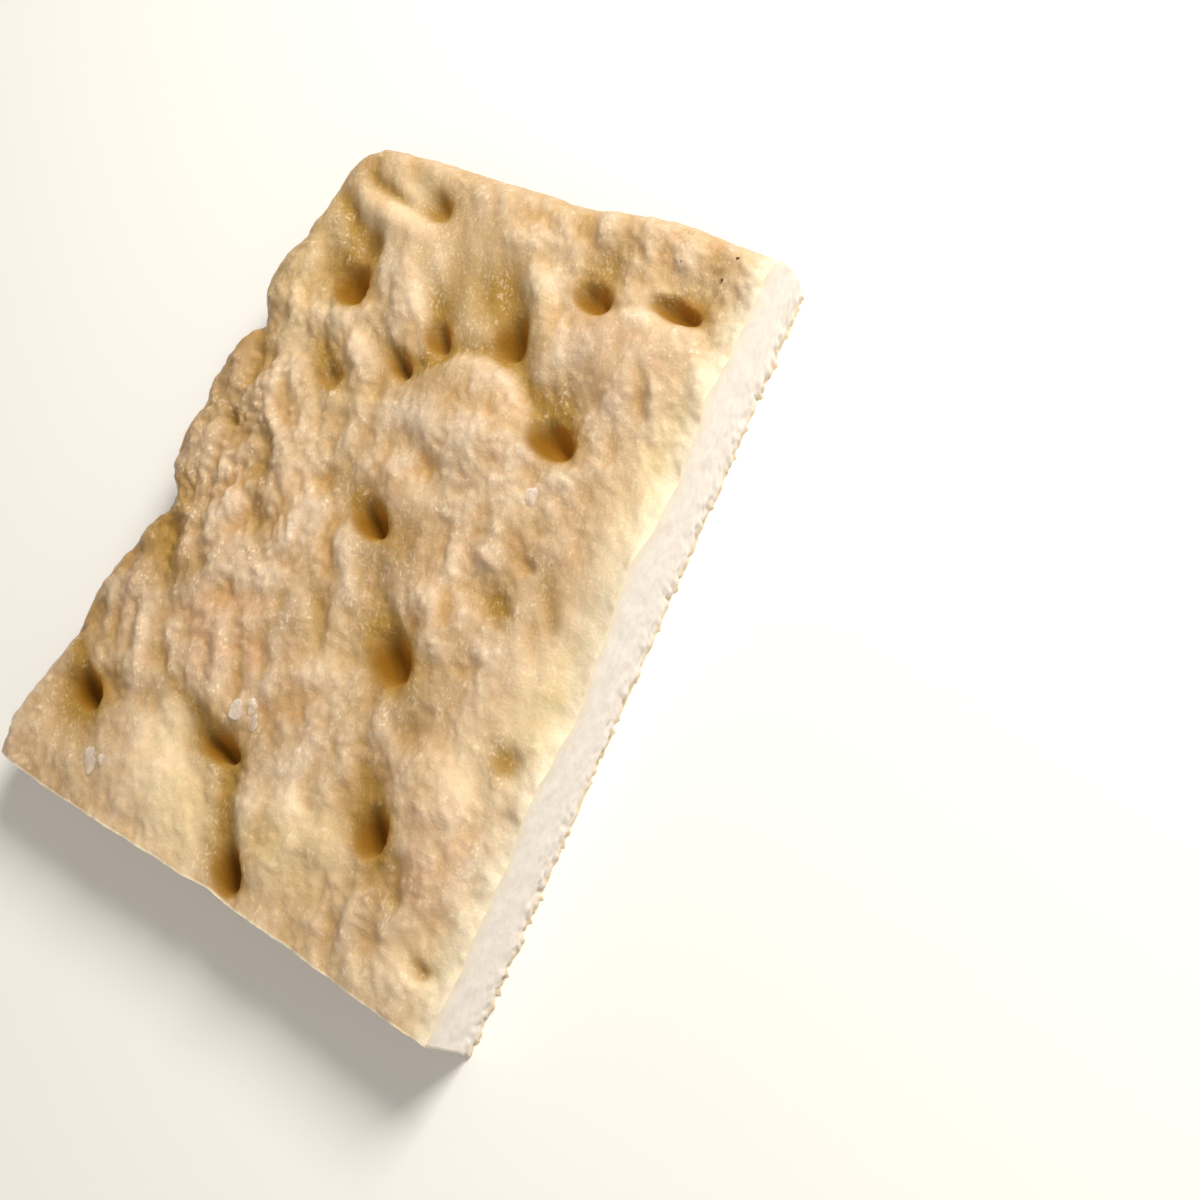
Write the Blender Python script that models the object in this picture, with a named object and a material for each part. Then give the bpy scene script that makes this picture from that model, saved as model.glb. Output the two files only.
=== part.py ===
"""Focaccia: one corner piece of a flat loaf, its crust dimpled by finger ends.

Two sides of the piece are baked edges of the loaf, rounded at the rim. The other two are knife cuts
through the crumb. Every measure is in millimetres, read on the crust seen from straight above: +X points
to the long cut, +Y to the far baked edge, and z = 0 is the base that the piece lies on.
"""

from dataclasses import dataclass

import bmesh
import bpy
import numpy as np
from mathutils import Matrix, Vector, noise

MM = 0.001

# The slab: its four edges in plan, and its height from the base to the general level of the crust.
THICKNESS = 19.5
LEFT_EDGE, LEFT_SLANT = -79.6, 0.083
RIGHT_EDGE, RIGHT_SLANT = 76.2, -0.05
FAR_EDGE, NEAR_EDGE = 101.4, -99.5
LENGTH = FAR_EDGE - NEAR_EDGE

# The middle of the finished piece in plan, which becomes the origin.
MIDDLE_X, MIDDLE_Y = -4.12, 0.28

# The baked edges: the round corner in plan, the round rim in section, and the foot drawn in at the base.
CORNER_RADIUS = 12.0
RIM_REACH, RIM_FALL = 8.5, 7.5
FOOT_IN = 3.0

# The knife cuts: how far the top of the long cut leans in, how rough torn crumb is, and how far the
# crags stand out along the foot of a cut.
CUT_LEAN = 0.9
CRUMB_SIZE, CRUMB_ROUGHNESS = 5.0, 0.55
CRAG_SIZE, CRAG_REACH = 3.0, 1.1
LONG_CUT_SEED, NEAR_CUT_SEED = 11.0, 13.0

# The foot and the crags fade with this power of the height.
FOOT_FADE = 3

# The mesh: spacing of the points over the crust, rows down a side, and triangles kept in all.
POINT_SPACING = 1.25
SIDE_ROWS = 14
TRIANGLES_KEPT = 11200
FLAT_WITHIN = 0.05

# The skin of the crust: wide soft lumps, and long wrinkles with round tops. The wrinkles lean one way,
# more so to the left and near the far edge. Their middle is the mean of the noise they are made from.
LUMP_SIZE, LUMP_HEIGHT, LUMP_SEED = 22.0, 0.8, 1.0
WRINKLE_WIDTH, WRINKLE_LENGTH, WRINKLE_HEIGHT, WRINKLE_SEED = 5.0, 13.0, 2.0, 3.0
WRINKLE_LEAN, WRINKLE_TURN_X, WRINKLE_TURN_Y = -62.0, 0.15, 0.05
WRINKLE_MIDDLE = 0.2

# A crease is shallow at both ends, over this share of its run.
CREASE_END_RUN, CREASE_END_DEPTH = 0.25, 0.3


@dataclass(frozen=True)
class Swell:
    """An oval rise in the crust, or a hollow where rise is negative.

    along and across are half sizes, turn is the angle of the long way in degrees from +X, and firm sets
    the sides: 1 is a soft mound, 2 has a flat top with steep sides.
    """

    x: float
    y: float
    along: float
    across: float
    turn: float
    rise: float
    firm: float = 1.0


@dataclass(frozen=True)
class Crease:
    """A fold line in the crust through a few points, with its half width and its depth."""

    points: tuple
    width: float
    depth: float


@dataclass(frozen=True)
class Wave:
    """A bulge of an edge at one place along it, or a notch where push is negative."""

    at: float
    reach: float
    push: float


@dataclass(frozen=True)
class Flake:
    """A flat crystal of coarse salt: its place, the angle of its long way, its length and its width."""

    x: float
    y: float
    turn: float
    length: float
    width: float


# Holes pressed by finger ends, nearly to the bottom of the dough.
DIMPLES = (
    Swell(-35.5, 87, 5.2, 3.6, -25, -4.2, 1.3),
    Swell(-47.5, 60, 5.8, 5.0, -66, -8.6, 1.8),
    Swell(-48.5, 71.5, 6.0, 4.2, -80, -3.6, 1.4),
    Swell(26.5, 76.5, 5.6, 3.7, -10, -6.3, 1.8),
    Swell(50.3, 80.2, 6.2, 2.8, -7, -6.4, 1.8),
    Swell(9.8, 60, 6.6, 4.4, -66, -7.2, 1.8),
    Swell(-40.5, 34, 4.4, 3.4, -40, -3.4, 1.4),
    Swell(-21, 43.5, 5.2, 3.0, -30, -4.6, 1.6),
    Swell(-13, 53.5, 5.2, 3.4, -38, -4.6, 1.6),
    Swell(35, 39.5, 6.6, 4.2, -12, -7.8, 1.8),
    Swell(-4.5, 2.8, 6.2, 3.6, -22, -6.8, 1.8),
    Swell(-65, 13, 3.4, 2.4, -35, -2.4, 1.4),
    Swell(42.5, -4, 4.4, 3.4, -22, -3.2, 1.4),
    Swell(21.5, -27, 6.8, 5.0, -36, -7.8, 1.8),
    Swell(-66.5, -70.5, 6.0, 4.3, -34, -8.0, 1.8),
    Swell(-15.5, -66.4, 6.6, 3.0, -6, -7.2, 1.8),
    Swell(65.5, -36.8, 4.4, 4.0, -30, -2.6, 1.3),
    Swell(39.3, -66, 6.0, 4.2, -50, -7.2, 1.8),
    Swell(5.3, -93, 6.2, 4.0, -50, -7.2, 1.8),
    Swell(68.5, -89.5, 4.0, 2.4, -8, -1.8, 1.4),
    Swell(46, 7.5, 2.6, 2.0, 0, -1.8, 1.3),
)

# Slopes that run down into the holes, where the oil gathered.
HOLLOWS = (
    Swell(-39, 91, 11, 5, -20, -3.0),
    Swell(-54, 62, 9, 8, -60, -3.6),
    Swell(-60, 79, 11, 4.0, -48, -1.6),
    Swell(28, 86, 9, 7, 80, -3.4),
    Swell(55, 88, 9, 6.5, 80, -3.2),
    Swell(3, 69, 13, 6.5, -58, -4.0),
    Swell(-17, 61, 11, 5.5, -48, -2.8),
    Swell(-47, 42, 11, 5.5, -40, -3.0),
    Swell(-28, 47, 10, 5, -28, -3.0),
    Swell(33, 46.5, 9, 7, -45, -3.6),
    Swell(-8, 6, 10, 6.5, -28, -3.4),
    Swell(-67, 17, 6, 4, -30, -1.5),
    Swell(40, -1.5, 8, 5.5, -25, -2.0),
    Swell(16, -23, 11, 8, -36, -4.0),
    Swell(25, -38, 8, 6, -40, -1.2),
    Swell(-69.5, -74, 9.5, 7, -40, -3.6),
    Swell(-58, -81, 10, 6, -20, -1.2),
    Swell(-20, -68, 12, 5.5, -6, -3.4),
    Swell(62, -36, 9, 7, -20, -2.2),
    Swell(36, -64, 9, 7.5, -50, -3.6),
    Swell(0, -91, 9, 7, -40, -3.6),
    Swell(66, 86, 6, 5, 0, -1.4),
    Swell(78, 40, 9, 7, 90, -2.0),
    Swell(79, -20, 9, 9, 90, -3.0),
    Swell(81, -84, 7, 8, 90, -1.6),
)

# Cushions of crust between the holes.
PILLOWS = (
    Swell(-52, 47.5, 14, 4.5, -12, 1.6),
    Swell(-27, 66, 15, 7.5, -66, 2.4, 1.4),
    Swell(-41, 77, 8, 5.5, -30, 1.6),
    Swell(-47, 81.5, 15, 3.6, -11, 1.8, 1.6),
    Swell(8, 37, 18.5, 14.5, -14, 3.2, 1.8),
    Swell(47, 65, 20, 12.5, -14, 2.6, 1.8),
    Swell(13, 73, 11, 5, -55, 2.0),
    Swell(22, 60, 11, 4, -62, 1.6),
    Swell(-3, 86, 11, 9, -30, 1.6),
    Swell(44, 56, 9, 9, 0, 1.0),
    Swell(-36, 43, 4.5, 4, 0, 1.2),
    Swell(-68, 62, 5, 11, 0, 1.4),
    Swell(-66, 48, 6, 6, 0, 1.2),
    Swell(-70, 30, 6, 9, -15, 1.2),
    Swell(-56, 24, 7, 8, 0, 1.3),
    Swell(-72, 3, 7, 9, 0, 1.4),
    Swell(-2, 13, 11, 6, -22, 1.8),
    Swell(-36, 1, 18, 5, -62, 1.8),
    Swell(-48, -15, 12, 5, -60, 1.4),
    Swell(27, -12, 11, 9, -40, 2.2),
    Swell(-38, -38, 22, 13, -30, 1.0),
    Swell(-68, -44, 6, 11, -15, 1.2),
    Swell(-57, -58, 9, 9, 0, 1.2),
    Swell(-36, -84, 24, 11, -5, 1.4, 1.4),
    Swell(-76, -91, 8, 8, 0, 1.0),
    Swell(11, -79, 11, 9, -50, 2.2),
    Swell(49, -51, 13, 9, -62, 2.4),
    Swell(62, -68, 9, 13, 15, 1.4),
    Swell(76, -45, 6, 9, 0, 1.6),
    Swell(-2, -42, 13, 10, -50, 1.2),
    Swell(34, 14, 16, 9, -20, 1.0),
    Swell(73, 14, 9, 12, 0, 2.6),
    Swell(74, 62, 9, 10, 0, 2.2),
)

CREASES = (
    Crease(((-60, 98), (-60.5, 92), (-57, 89.5), (-47, 87), (-38, 84.5)), 1.6, 1.8),
    Crease(((-70, 87), (-63, 81), (-56, 76), (-50, 71)), 2.4, 1.3),
    Crease(((-76, 42), (-69, 38), (-66, 30), (-64, 22)), 2.2, 1.6),
    Crease(((-54, 17), (-46, 4), (-38, -8), (-30, -20)), 3.0, 1.8),
    Crease(((-74, -13), (-66, -24), (-56, -37)), 3.2, 2.6),
    Crease(((-84, -56), (-77, -61), (-70, -66)), 2.6, 2.2),
    Crease(((-52, -51), (-38, -59), (-20, -63)), 2.6, 1.6),
    Crease(((-10, -69), (-5, -79), (2, -88)), 3.0, 2.0),
    Crease(((26, -51), (36, -60)), 2.6, 1.6),
    Crease(((46, -69), (44, -80)), 2.0, 1.2),
    Crease(((49, -66), (57, -81)), 2.6, 1.6),
    Crease(((49, 10), (56, 2), (63, -6)), 2.2, 1.2),
    Crease(((40, 18), (44, 16), (49, 17.5)), 1.2, 0.8),
    Crease(((63, -85.5), (70, -88.5), (74, -88)), 1.3, 0.9),
    Crease(((16, 53.5), (24, 48), (31, 42)), 2.4, 1.8),
    Crease(((-16, 41), (-8, 49), (-3, 53), (7, 55), (16, 53)), 2.4, 1.8),
    Crease(((31, 74.5), (42, 78.5), (50, 79)), 2.0, 1.4),
    Crease(((-14, -14), (-4, -27), (4, -40)), 3.2, 1.2),
    Crease(((-30, 74), (-18, 62), (-10, 56)), 2.6, 1.2),
)

# Each edge wanders a little, and the left edge is notched where the dough folded.
LEFT_WAVES = (
    Wave(58, 14, 4.2), Wave(25, 12, 3.0), Wave(3, 8, 2.2), Wave(-14, 7.5, -6.5), Wave(-27, 9, -3.6),
    Wave(42, 4.5, -3.2), Wave(14, 4, -1.0), Wave(69, 3.5, -1.4), Wave(-62, 4.5, -1.4), Wave(-89, 9, 2.6),
)
FAR_WAVES = (Wave(38, 22, 2.4), Wave(-40, 16, 0.6), Wave(8, 9, -0.7))
NEAR_WAVES = (Wave(82, 50, 3.4), Wave(-84, 14, -1.4), Wave(2, 7, -0.6))

# Coarse salt that melted into the oil: flat flakes, half sunk in the crust and lying along its slope.
SALT = (
    Flake(-51.8, -86.8, -56, 5.6, 3.8), Flake(-47.4, -84.9, -78, 2.8, 2.0),
    Flake(-10.4, -53.6, -58, 3.6, 2.6), Flake(-8.2, -57.3, -58, 4.6, 3.2),
    Flake(-14.4, -56.2, -63, 4.6, 3.2), Flake(38.4, 24.0, -75, 4.2, 2.6),
)
FLAKE_THICK, FLAKE_SUNK, FLAKE_BEVEL = 1.9, 0.5, 0.45

CRUST_COLOUR = (0.72, 0.49, 0.26, 1.0)
CRUST_ROUGHNESS = 0.55
SHARP_ANGLE = 50.0


def eased(run, ease=CORNER_RADIUS):
    """Distance from a baked edge for a point that is run along the rows, which crowd at the rim."""
    return np.where(run < ease, run * run / (2.0 * ease), run - ease / 2.0)


def waves(at, table):
    """The push of an edge outward at each place along it."""
    return sum(wave.push * np.exp(-(((at - wave.at) / wave.reach) ** 2)) for wave in table)


def drift(first, second, seed):
    """Smooth noise between -1 and 1, one value for each pair of numbers."""
    return np.array([noise.noise((a, b, seed)) for a, b in zip(first.tolist(), second.tolist())])


def turned(x, y, degrees):
    """Position along a direction, and across it."""
    angle = np.radians(degrees)
    return x * np.cos(angle) + y * np.sin(angle), y * np.cos(angle) - x * np.sin(angle)


def oval_distance(x, y, swell):
    """Distance from the middle of a swell, where 1 is its nominal outline."""
    along, across = turned(x - swell.x, y - swell.y, swell.turn)
    return np.hypot(along / swell.along, across / swell.across)


def wrinkles(x, y):
    """Round-topped folds of the skin, with sharp valleys between."""
    along, across = turned(x, y, WRINKLE_LEAN + WRINKLE_TURN_X * x + WRINKLE_TURN_Y * y)
    folds = np.abs(drift(across / WRINKLE_WIDTH, along / WRINKLE_LENGTH, WRINKLE_SEED))
    return WRINKLE_HEIGHT * (folds - WRINKLE_MIDDLE)


def crease_depth(x, y, crease):
    """How deep a fold line is at each point. It runs out at both ends."""
    ends = np.array(crease.points, float)
    runs = np.hypot(*(ends[1:] - ends[:-1]).T)
    nearest = np.full(x.shape, np.inf)
    reached = np.zeros(x.shape)
    passed = 0.0
    for (x0, y0), (x1, y1), run in zip(ends[:-1], ends[1:], runs):
        share = np.clip(((x - x0) * (x1 - x0) + (y - y0) * (y1 - y0)) / run**2, 0.0, 1.0)
        gap = np.hypot(x - x0 - share * (x1 - x0), y - y0 - share * (y1 - y0))
        reached = np.where(gap < nearest, passed + share * run, reached)
        nearest = np.minimum(gap, nearest)
        passed += run
    from_end = np.minimum(reached, passed - reached) / passed
    fullness = np.clip(from_end / CREASE_END_RUN, 0.0, 1.0)
    depth = crease.depth * (CREASE_END_DEPTH + (1.0 - CREASE_END_DEPTH) * fullness)
    return depth * np.exp(-((nearest / crease.width) ** 2))


def crust_level(x, y):
    """Height of the crust over the base, before the rim rounds it off."""
    level = np.full(x.shape, THICKNESS)
    for swell in PILLOWS + HOLLOWS + DIMPLES:
        level += swell.rise * np.exp(-(oval_distance(x, y, swell) ** (2.0 * swell.firm)))
    for crease in CREASES:
        level -= crease_depth(x, y, crease)
    lumps = LUMP_HEIGHT * drift(x / LUMP_SIZE, y / LUMP_SIZE, LUMP_SEED)
    return level + lumps + wrinkles(x, y)


def torn(along, w, seed):
    """How far the crumb of a cut stands out, with crags that are largest at the foot of the cut."""
    height = w * THICKNESS
    grain = CRUMB_ROUGHNESS * drift(along / CRUMB_SIZE, height / CRUMB_SIZE, seed)
    crags = np.maximum(drift(along / CRAG_SIZE, height / CRAG_SIZE, seed + 1.0), 0.0)
    return grain + CRAG_REACH * (1.0 - w) ** FOOT_FADE * crags


def plan(u, v, w):
    """Plan position of grid points, and their distance from the nearest baked edge.

    u runs from the left edge to the long cut, v from the near cut to the far edge, and w from the base
    up to the crust. Each is between 0 and 1.
    """
    far_gap = eased((1.0 - v) * (LENGTH + CORNER_RADIUS / 2.0))
    y = FAR_EDGE - far_gap
    foot = FOOT_IN * (1.0 - w) ** FOOT_FADE
    left = LEFT_EDGE + LEFT_SLANT * y - waves(y, LEFT_WAVES) + foot
    right = RIGHT_EDGE + RIGHT_SLANT * y - CUT_LEAN * w + torn(y, w, LONG_CUT_SEED)
    left_gap = eased(u * (right - left + CORNER_RADIUS / 2.0))
    # A square corner becomes a round one where both baked edges are near.
    to_left = np.clip(1.0 - left_gap / CORNER_RADIUS, 0.0, None)
    to_far = np.clip(1.0 - far_gap / CORNER_RADIUS, 0.0, None)
    round_left = to_left * np.sqrt(1.0 - to_far**2 / 2.0)
    round_far = to_far * np.sqrt(1.0 - to_left**2 / 2.0)
    x = left + np.where(to_left > 0.0, CORNER_RADIUS * (1.0 - round_left), left_gap)
    far_gap = np.where(to_far > 0.0, CORNER_RADIUS * (1.0 - round_far), far_gap)
    rim_gap = CORNER_RADIUS * (1.0 - np.hypot(round_left, round_far))
    # The far edge and the near cut push the rows between them by their share of the way.
    near_share = far_gap / LENGTH
    far_push = (waves(x, FAR_WAVES) - foot) * (1.0 - near_share)
    near_push = (waves(x, NEAR_WAVES) + torn(x, w, NEAR_CUT_SEED)) * near_share
    return x, FAR_EDGE - far_gap + far_push - near_push, np.clip(rim_gap, 0.0, None)


def shaped(u, v, w):
    """Place of each grid point in the finished slab, in millimetres."""
    rim_x, rim_y, rim_gap = plan(u, v, np.ones_like(w))
    inside = np.clip(1.0 - rim_gap / RIM_REACH, 0.0, 1.0)
    top = crust_level(rim_x, rim_y) - RIM_FALL * (1.0 - np.sqrt(1.0 - inside**2))
    x, y, _ = plan(u, v, w)
    return x - MIDDLE_X, y - MIDDLE_Y, w * top


def gridded_block(columns, rows, layers):
    """A unit block whose faces are cut into a grid, so many squares each way."""
    block = bmesh.new()
    bmesh.ops.create_cube(block, size=1.0)
    for axis, squares in enumerate((columns, rows, layers)):
        edges = [edge for edge in block.edges if edge.verts[0].co[axis] != edge.verts[1].co[axis]]
        bmesh.ops.subdivide_edges(block, edges=edges, cuts=squares - 1, use_grid_fill=True)
    return block


def slab_mesh():
    """The whole slab: a gridded block, each of its points moved to its place."""
    columns = round((RIGHT_EDGE - LEFT_EDGE) / POINT_SPACING)
    rows = round(LENGTH / POINT_SPACING)
    block = gridded_block(columns, rows, SIDE_ROWS)
    mesh = bpy.data.meshes.new("focaccia")
    block.to_mesh(mesh)
    block.free()
    unit = np.empty(len(mesh.vertices) * 3, np.float32)
    mesh.vertices.foreach_get("co", unit)
    u, v, w = (unit.reshape(-1, 3).astype(float) + 0.5).T
    placed = np.stack(shaped(u, v, w), axis=1) * MM
    mesh.vertices.foreach_set("co", placed.astype(np.float32).ravel())
    mesh.update()
    return mesh


def material(name, colour, roughness):
    """A plain Principled material."""
    made = bpy.data.materials.new(name)
    made.use_nodes = True
    shader = made.node_tree.nodes["Principled BSDF"]
    shader.inputs["Base Color"].default_value = colour
    shader.inputs["Roughness"].default_value = roughness
    made.diffuse_color = colour
    return made


def collection(name):
    """A new collection in the scene."""
    made = bpy.data.collections.new(name)
    bpy.context.scene.collection.children.link(made)
    return made


def apply_modifiers(item):
    """Make what the modifiers give the object's own mesh."""
    graph = bpy.context.evaluated_depsgraph_get()
    solid = bpy.data.meshes.new_from_object(item.evaluated_get(graph))
    item.modifiers.clear()
    item.data = solid


def thinned(item):
    """Keep many triangles in the dimples and folds, and few where the slab is flat."""
    item.data.calc_loop_triangles()
    thin = item.modifiers.new("thin", "DECIMATE")
    thin.decimate_type = "COLLAPSE"
    thin.use_collapse_triangulate = True
    thin.ratio = TRIANGLES_KEPT / len(item.data.loop_triangles)
    apply_modifiers(item)
    for point in item.data.vertices:
        if point.co.z < FLAT_WITHIN * MM:
            point.co.z = 0.0


def lying_on_crust(flake):
    """Where a flake lies: its middle on the crust, its flat side along the slope there."""
    x = flake.x + np.array([0.0, flake.width / 2.0, 0.0])
    y = flake.y + np.array([0.0, 0.0, flake.width / 2.0])
    level, level_in_x, level_in_y = crust_level(x, y)
    slope = Vector((level - level_in_x, level - level_in_y, flake.width / 2.0)).normalized()
    lift = (0.5 - FLAKE_SUNK) * FLAKE_THICK
    place = Vector((flake.x - MIDDLE_X, flake.y - MIDDLE_Y, level)) + slope * lift
    tilt = Vector((0.0, 0.0, 1.0)).rotation_difference(slope).to_matrix().to_4x4()
    return Matrix.Translation(place * MM) @ tilt @ Matrix.Rotation(np.radians(flake.turn), 4, "Z")


def salt_flake(flake):
    """One flat crystal of salt with worn edges, in its place."""
    crystal = bmesh.new()
    bmesh.ops.create_cube(crystal, size=1.0)
    size = Vector((flake.length, flake.width, FLAKE_THICK)) * MM
    bmesh.ops.scale(crystal, vec=size, verts=crystal.verts)
    bmesh.ops.bevel(
        crystal, geom=crystal.edges[:], offset=FLAKE_BEVEL * MM, offset_type="OFFSET", segments=1,
        profile=0.5, affect="EDGES", material=-1,
    )
    bmesh.ops.transform(crystal, verts=crystal.verts, matrix=lying_on_crust(flake))
    mesh = bpy.data.meshes.new("salt")
    crystal.to_mesh(mesh)
    crystal.free()
    return bpy.data.objects.new("salt", mesh)


def sprinkle_salt(item):
    """Fuse the flakes that show from a step away to the crust under them."""
    flakes = collection("salt flakes")
    for flake in SALT:
        flakes.objects.link(salt_flake(flake))
    join = item.modifiers.new("salt", "BOOLEAN")
    join.operation = "UNION"
    join.operand_type = "COLLECTION"
    join.collection = flakes
    join.solver = "EXACT"
    bpy.context.view_layer.update()
    apply_modifiers(item)
    for flake in list(flakes.objects):
        bpy.data.objects.remove(flake)
    bpy.data.collections.remove(flakes)


def main():
    """Build the one solid of the piece."""
    for item in list(bpy.data.objects):
        bpy.data.objects.remove(item)
    focaccia = bpy.data.objects.new("focaccia", slab_mesh())
    collection("focaccia").objects.link(focaccia)
    bpy.context.view_layer.update()
    thinned(focaccia)
    sprinkle_salt(focaccia)
    focaccia.data.materials.clear()
    focaccia.data.materials.append(material("baked focaccia crust", CRUST_COLOUR, CRUST_ROUGHNESS))
    focaccia.data.shade_smooth()
    focaccia.data.set_sharp_from_angle(angle=np.radians(SHARP_ANGLE))


main()
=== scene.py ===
"""Focaccia: the looks of one corner piece of a flat loaf, dimpled by finger ends.

The piece lies on its base. Sizes are in millimetres on the crust seen from straight above, as its solid
has them: +X points to the long cut, +Y to the far baked edge, and z = 0 is the base.
"""

import logging
from dataclasses import dataclass, replace
from enum import Enum, IntEnum
from typing import Callable, Optional, Sequence, Union

import bmesh
import bpy
import numpy as np
from mathutils import Matrix, Vector, noise


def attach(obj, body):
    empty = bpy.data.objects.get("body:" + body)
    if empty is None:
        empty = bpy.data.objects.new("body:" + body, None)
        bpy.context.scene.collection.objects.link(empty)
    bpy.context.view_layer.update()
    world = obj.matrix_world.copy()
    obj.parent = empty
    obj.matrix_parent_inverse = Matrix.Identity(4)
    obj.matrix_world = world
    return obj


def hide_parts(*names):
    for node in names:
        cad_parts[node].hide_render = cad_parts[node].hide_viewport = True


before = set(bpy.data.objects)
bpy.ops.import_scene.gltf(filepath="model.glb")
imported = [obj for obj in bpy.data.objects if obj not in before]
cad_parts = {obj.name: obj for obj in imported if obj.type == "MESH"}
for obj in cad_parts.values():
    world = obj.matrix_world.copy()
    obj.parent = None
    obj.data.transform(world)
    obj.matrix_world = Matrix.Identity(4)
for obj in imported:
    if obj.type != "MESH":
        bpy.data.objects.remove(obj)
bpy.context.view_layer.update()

LOG = logging.getLogger("focaccia")

MM = 0.001
NODE = "focaccia"
BODY = "root"

# How near a side of the unit block a point is when it counts as on it.
TOUCH = 0.0005

# Where Blender's Mix node has its sockets when it mixes colours.
MIX_A, MIX_B, MIX_RESULT = 6, 7, 2

Array = np.ndarray
Span = tuple[float, float]
Triple = tuple[float, float, float]
Colour = tuple[float, float, float, float]
Socket = bpy.types.NodeSocket
Source = Union[float, tuple, Socket]
Inputs = dict[Union[int, str], Source]


# --- Colour and nodes ---


def linear(hex_colour: str) -> Colour:
    """Turns an sRGB hex colour into Blender's linear one.

    Args:
        hex_colour: The colour as six hex digits after a hash.

    Returns:
        Linear red, green, blue and an alpha of 1.
    """
    digits = hex_colour.lstrip("#")
    shares = [int(digits[at:at + 2], 16) / 255.0 for at in (0, 2, 4)]
    red, green, blue = (s / 12.92 if s <= 0.04045 else ((s + 0.055) / 1.055) ** 2.4 for s in shares)
    return red, green, blue, 1.0


def feed(tree: bpy.types.NodeTree, node: bpy.types.Node, inputs: Inputs) -> None:
    """Sets or links the inputs of a node.

    Args:
        tree: The tree that has the node.
        node: The node.
        inputs: By the name or number of an input, its value or the socket to link to it.
    """
    for name, source in inputs.items():
        if isinstance(source, Socket):
            tree.links.new(source, node.inputs[name])
        else:
            node.inputs[name].default_value = source


def add_node(
    tree: bpy.types.NodeTree,
    kind: str,
    settings: Optional[dict[str, object]] = None,
    inputs: Optional[Inputs] = None,
) -> bpy.types.Node:
    """Adds one node to a tree, with its settings and links.

    Args:
        tree: The tree that gets the node.
        kind: The node's type.
        settings: Values by the name of a property.
        inputs: By the name or number of an input, its value or the socket to link to it.

    Returns:
        The new node.
    """
    node = tree.nodes.new(kind)
    for name, value in (settings or {}).items():
        setattr(node, name, value)
    feed(tree, node, inputs or {})
    return node


# --- Form ---


class Tint(Enum):
    """The measures kept on each point of the bread, which its finishes read."""

    # Oil, with painted shade on the flank beside each hole.
    OIL = "oil_and_painted_shade"
    # In the holes: brown with painted shade on the lit side, and brown with painted light on the dark side.
    WALL = "hole_brown_painted_shade"
    CORE = "hole_brown_painted_light"
    BLUSH = "blush"
    # Patches made lighter: paler crust, and painted light over shaded hollows.
    PALE_AND_LIGHT = "pale"
    # Patches made darker: browner crust, and painted shade.
    TAN = "tan_and_painted_shade"
    YELLOW = "yellow"
    FOLD = "fold"
    EDGE = "edge"
    SIDE = "side"
    FOOT = "foot"


@dataclass(frozen=True)
class Swell:
    """An oval rise in the crust, or a hollow where rise is negative.

    along and across are half sizes, turn is the angle of the long way in degrees from +X, and firm sets
    the sides: 1 is a soft mound, 2 has a flat top with steep sides.
    """

    x: float
    y: float
    along: float
    across: float
    turn: float
    rise: float
    firm: float = 1.0

    def at(self, x: Array, y: Array) -> Array:
        """The rise at each point."""
        along, across = turned(x - self.x, y - self.y, self.turn)
        distance = np.hypot(along / self.along, across / self.across)
        return self.rise * np.exp(-(distance ** (2.0 * self.firm)))

    def grown(self, times: float) -> "Swell":
        """The same place as a soft mound, so many times as wide."""
        return replace(self, along=self.along * times, across=self.across * times, firm=1.0)


@dataclass(frozen=True)
class Crease:
    """A fold line in the crust through a few points, with its half width and its depth."""

    points: tuple[tuple[float, float], ...]
    width: float
    depth: float
    end_run: float = 0.25
    end_depth: float = 0.3

    def at(self, x: Array, y: Array) -> Array:
        """Works out how deep the line is. It is shallow at both ends.

        Args:
            x: Places across the piece.
            y: Places along the piece.

        Returns:
            The depth at each place.
        """
        ends = np.array(self.points, float)
        runs = np.hypot(*(ends[1:] - ends[:-1]).T)
        nearest = np.full(x.shape, np.inf)
        reached = np.zeros(x.shape)
        passed = 0.0
        for (x0, y0), (x1, y1), run in zip(ends[:-1], ends[1:], runs):
            share = np.clip(((x - x0) * (x1 - x0) + (y - y0) * (y1 - y0)) / run**2, 0.0, 1.0)
            gap = np.hypot(x - x0 - share * (x1 - x0), y - y0 - share * (y1 - y0))
            reached = np.where(gap < nearest, passed + share * run, reached)
            nearest = np.minimum(gap, nearest)
            passed += run
        from_end = np.minimum(reached, passed - reached) / passed
        fullness = np.clip(from_end / self.end_run, 0.0, 1.0)
        depth = self.depth * (self.end_depth + (1.0 - self.end_depth) * fullness)
        return depth * np.exp(-((nearest / self.width) ** 2))


@dataclass(frozen=True)
class Wave:
    """A bulge of an edge at one place along it, or a notch where push is negative."""

    at: float
    reach: float
    push: float


@dataclass(frozen=True)
class Flake:
    """A flat bit on the crust: its place, the angle of its long way, its length and its width."""

    x: float
    y: float
    turn: float
    length: float
    width: float


class Slice(float, Enum):
    """The slice of the noise that each form is cut from, so that no two of them agree."""

    LUMPS = 1.0
    WRINKLES = 3.0
    LONG_CUT = 11.0
    NEAR_CUT = 13.0
    WARP_X = 31.0
    WARP_Y = 32.0
    SWAY = 33.0
    FOLDS = 34.0
    KNOLLS = 37.0
    CUT_BAND = 41.0


class Layer(float, Enum):
    """How far the layers of a cut's crumb are from the cut's own slice of the noise."""

    GRAIN = 0.0
    CRAGS = 1.0
    RAGGED = 3.0
    TEETH = 5.0
    PORES = 7.0
    FINE_PORES = 9.0


def swells(*rows: Sequence[float]) -> tuple[Swell, ...]:
    """Makes a swell of each row: x, y, along, across, turn, rise, and firm where it isn't 1."""
    return tuple(Swell(*row) for row in rows)


def summed(table: Sequence[Swell], x: Array, y: Array) -> Array:
    """The rise of a whole table of swells at each point."""
    return sum(swell.at(x, y) for swell in table)


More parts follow.
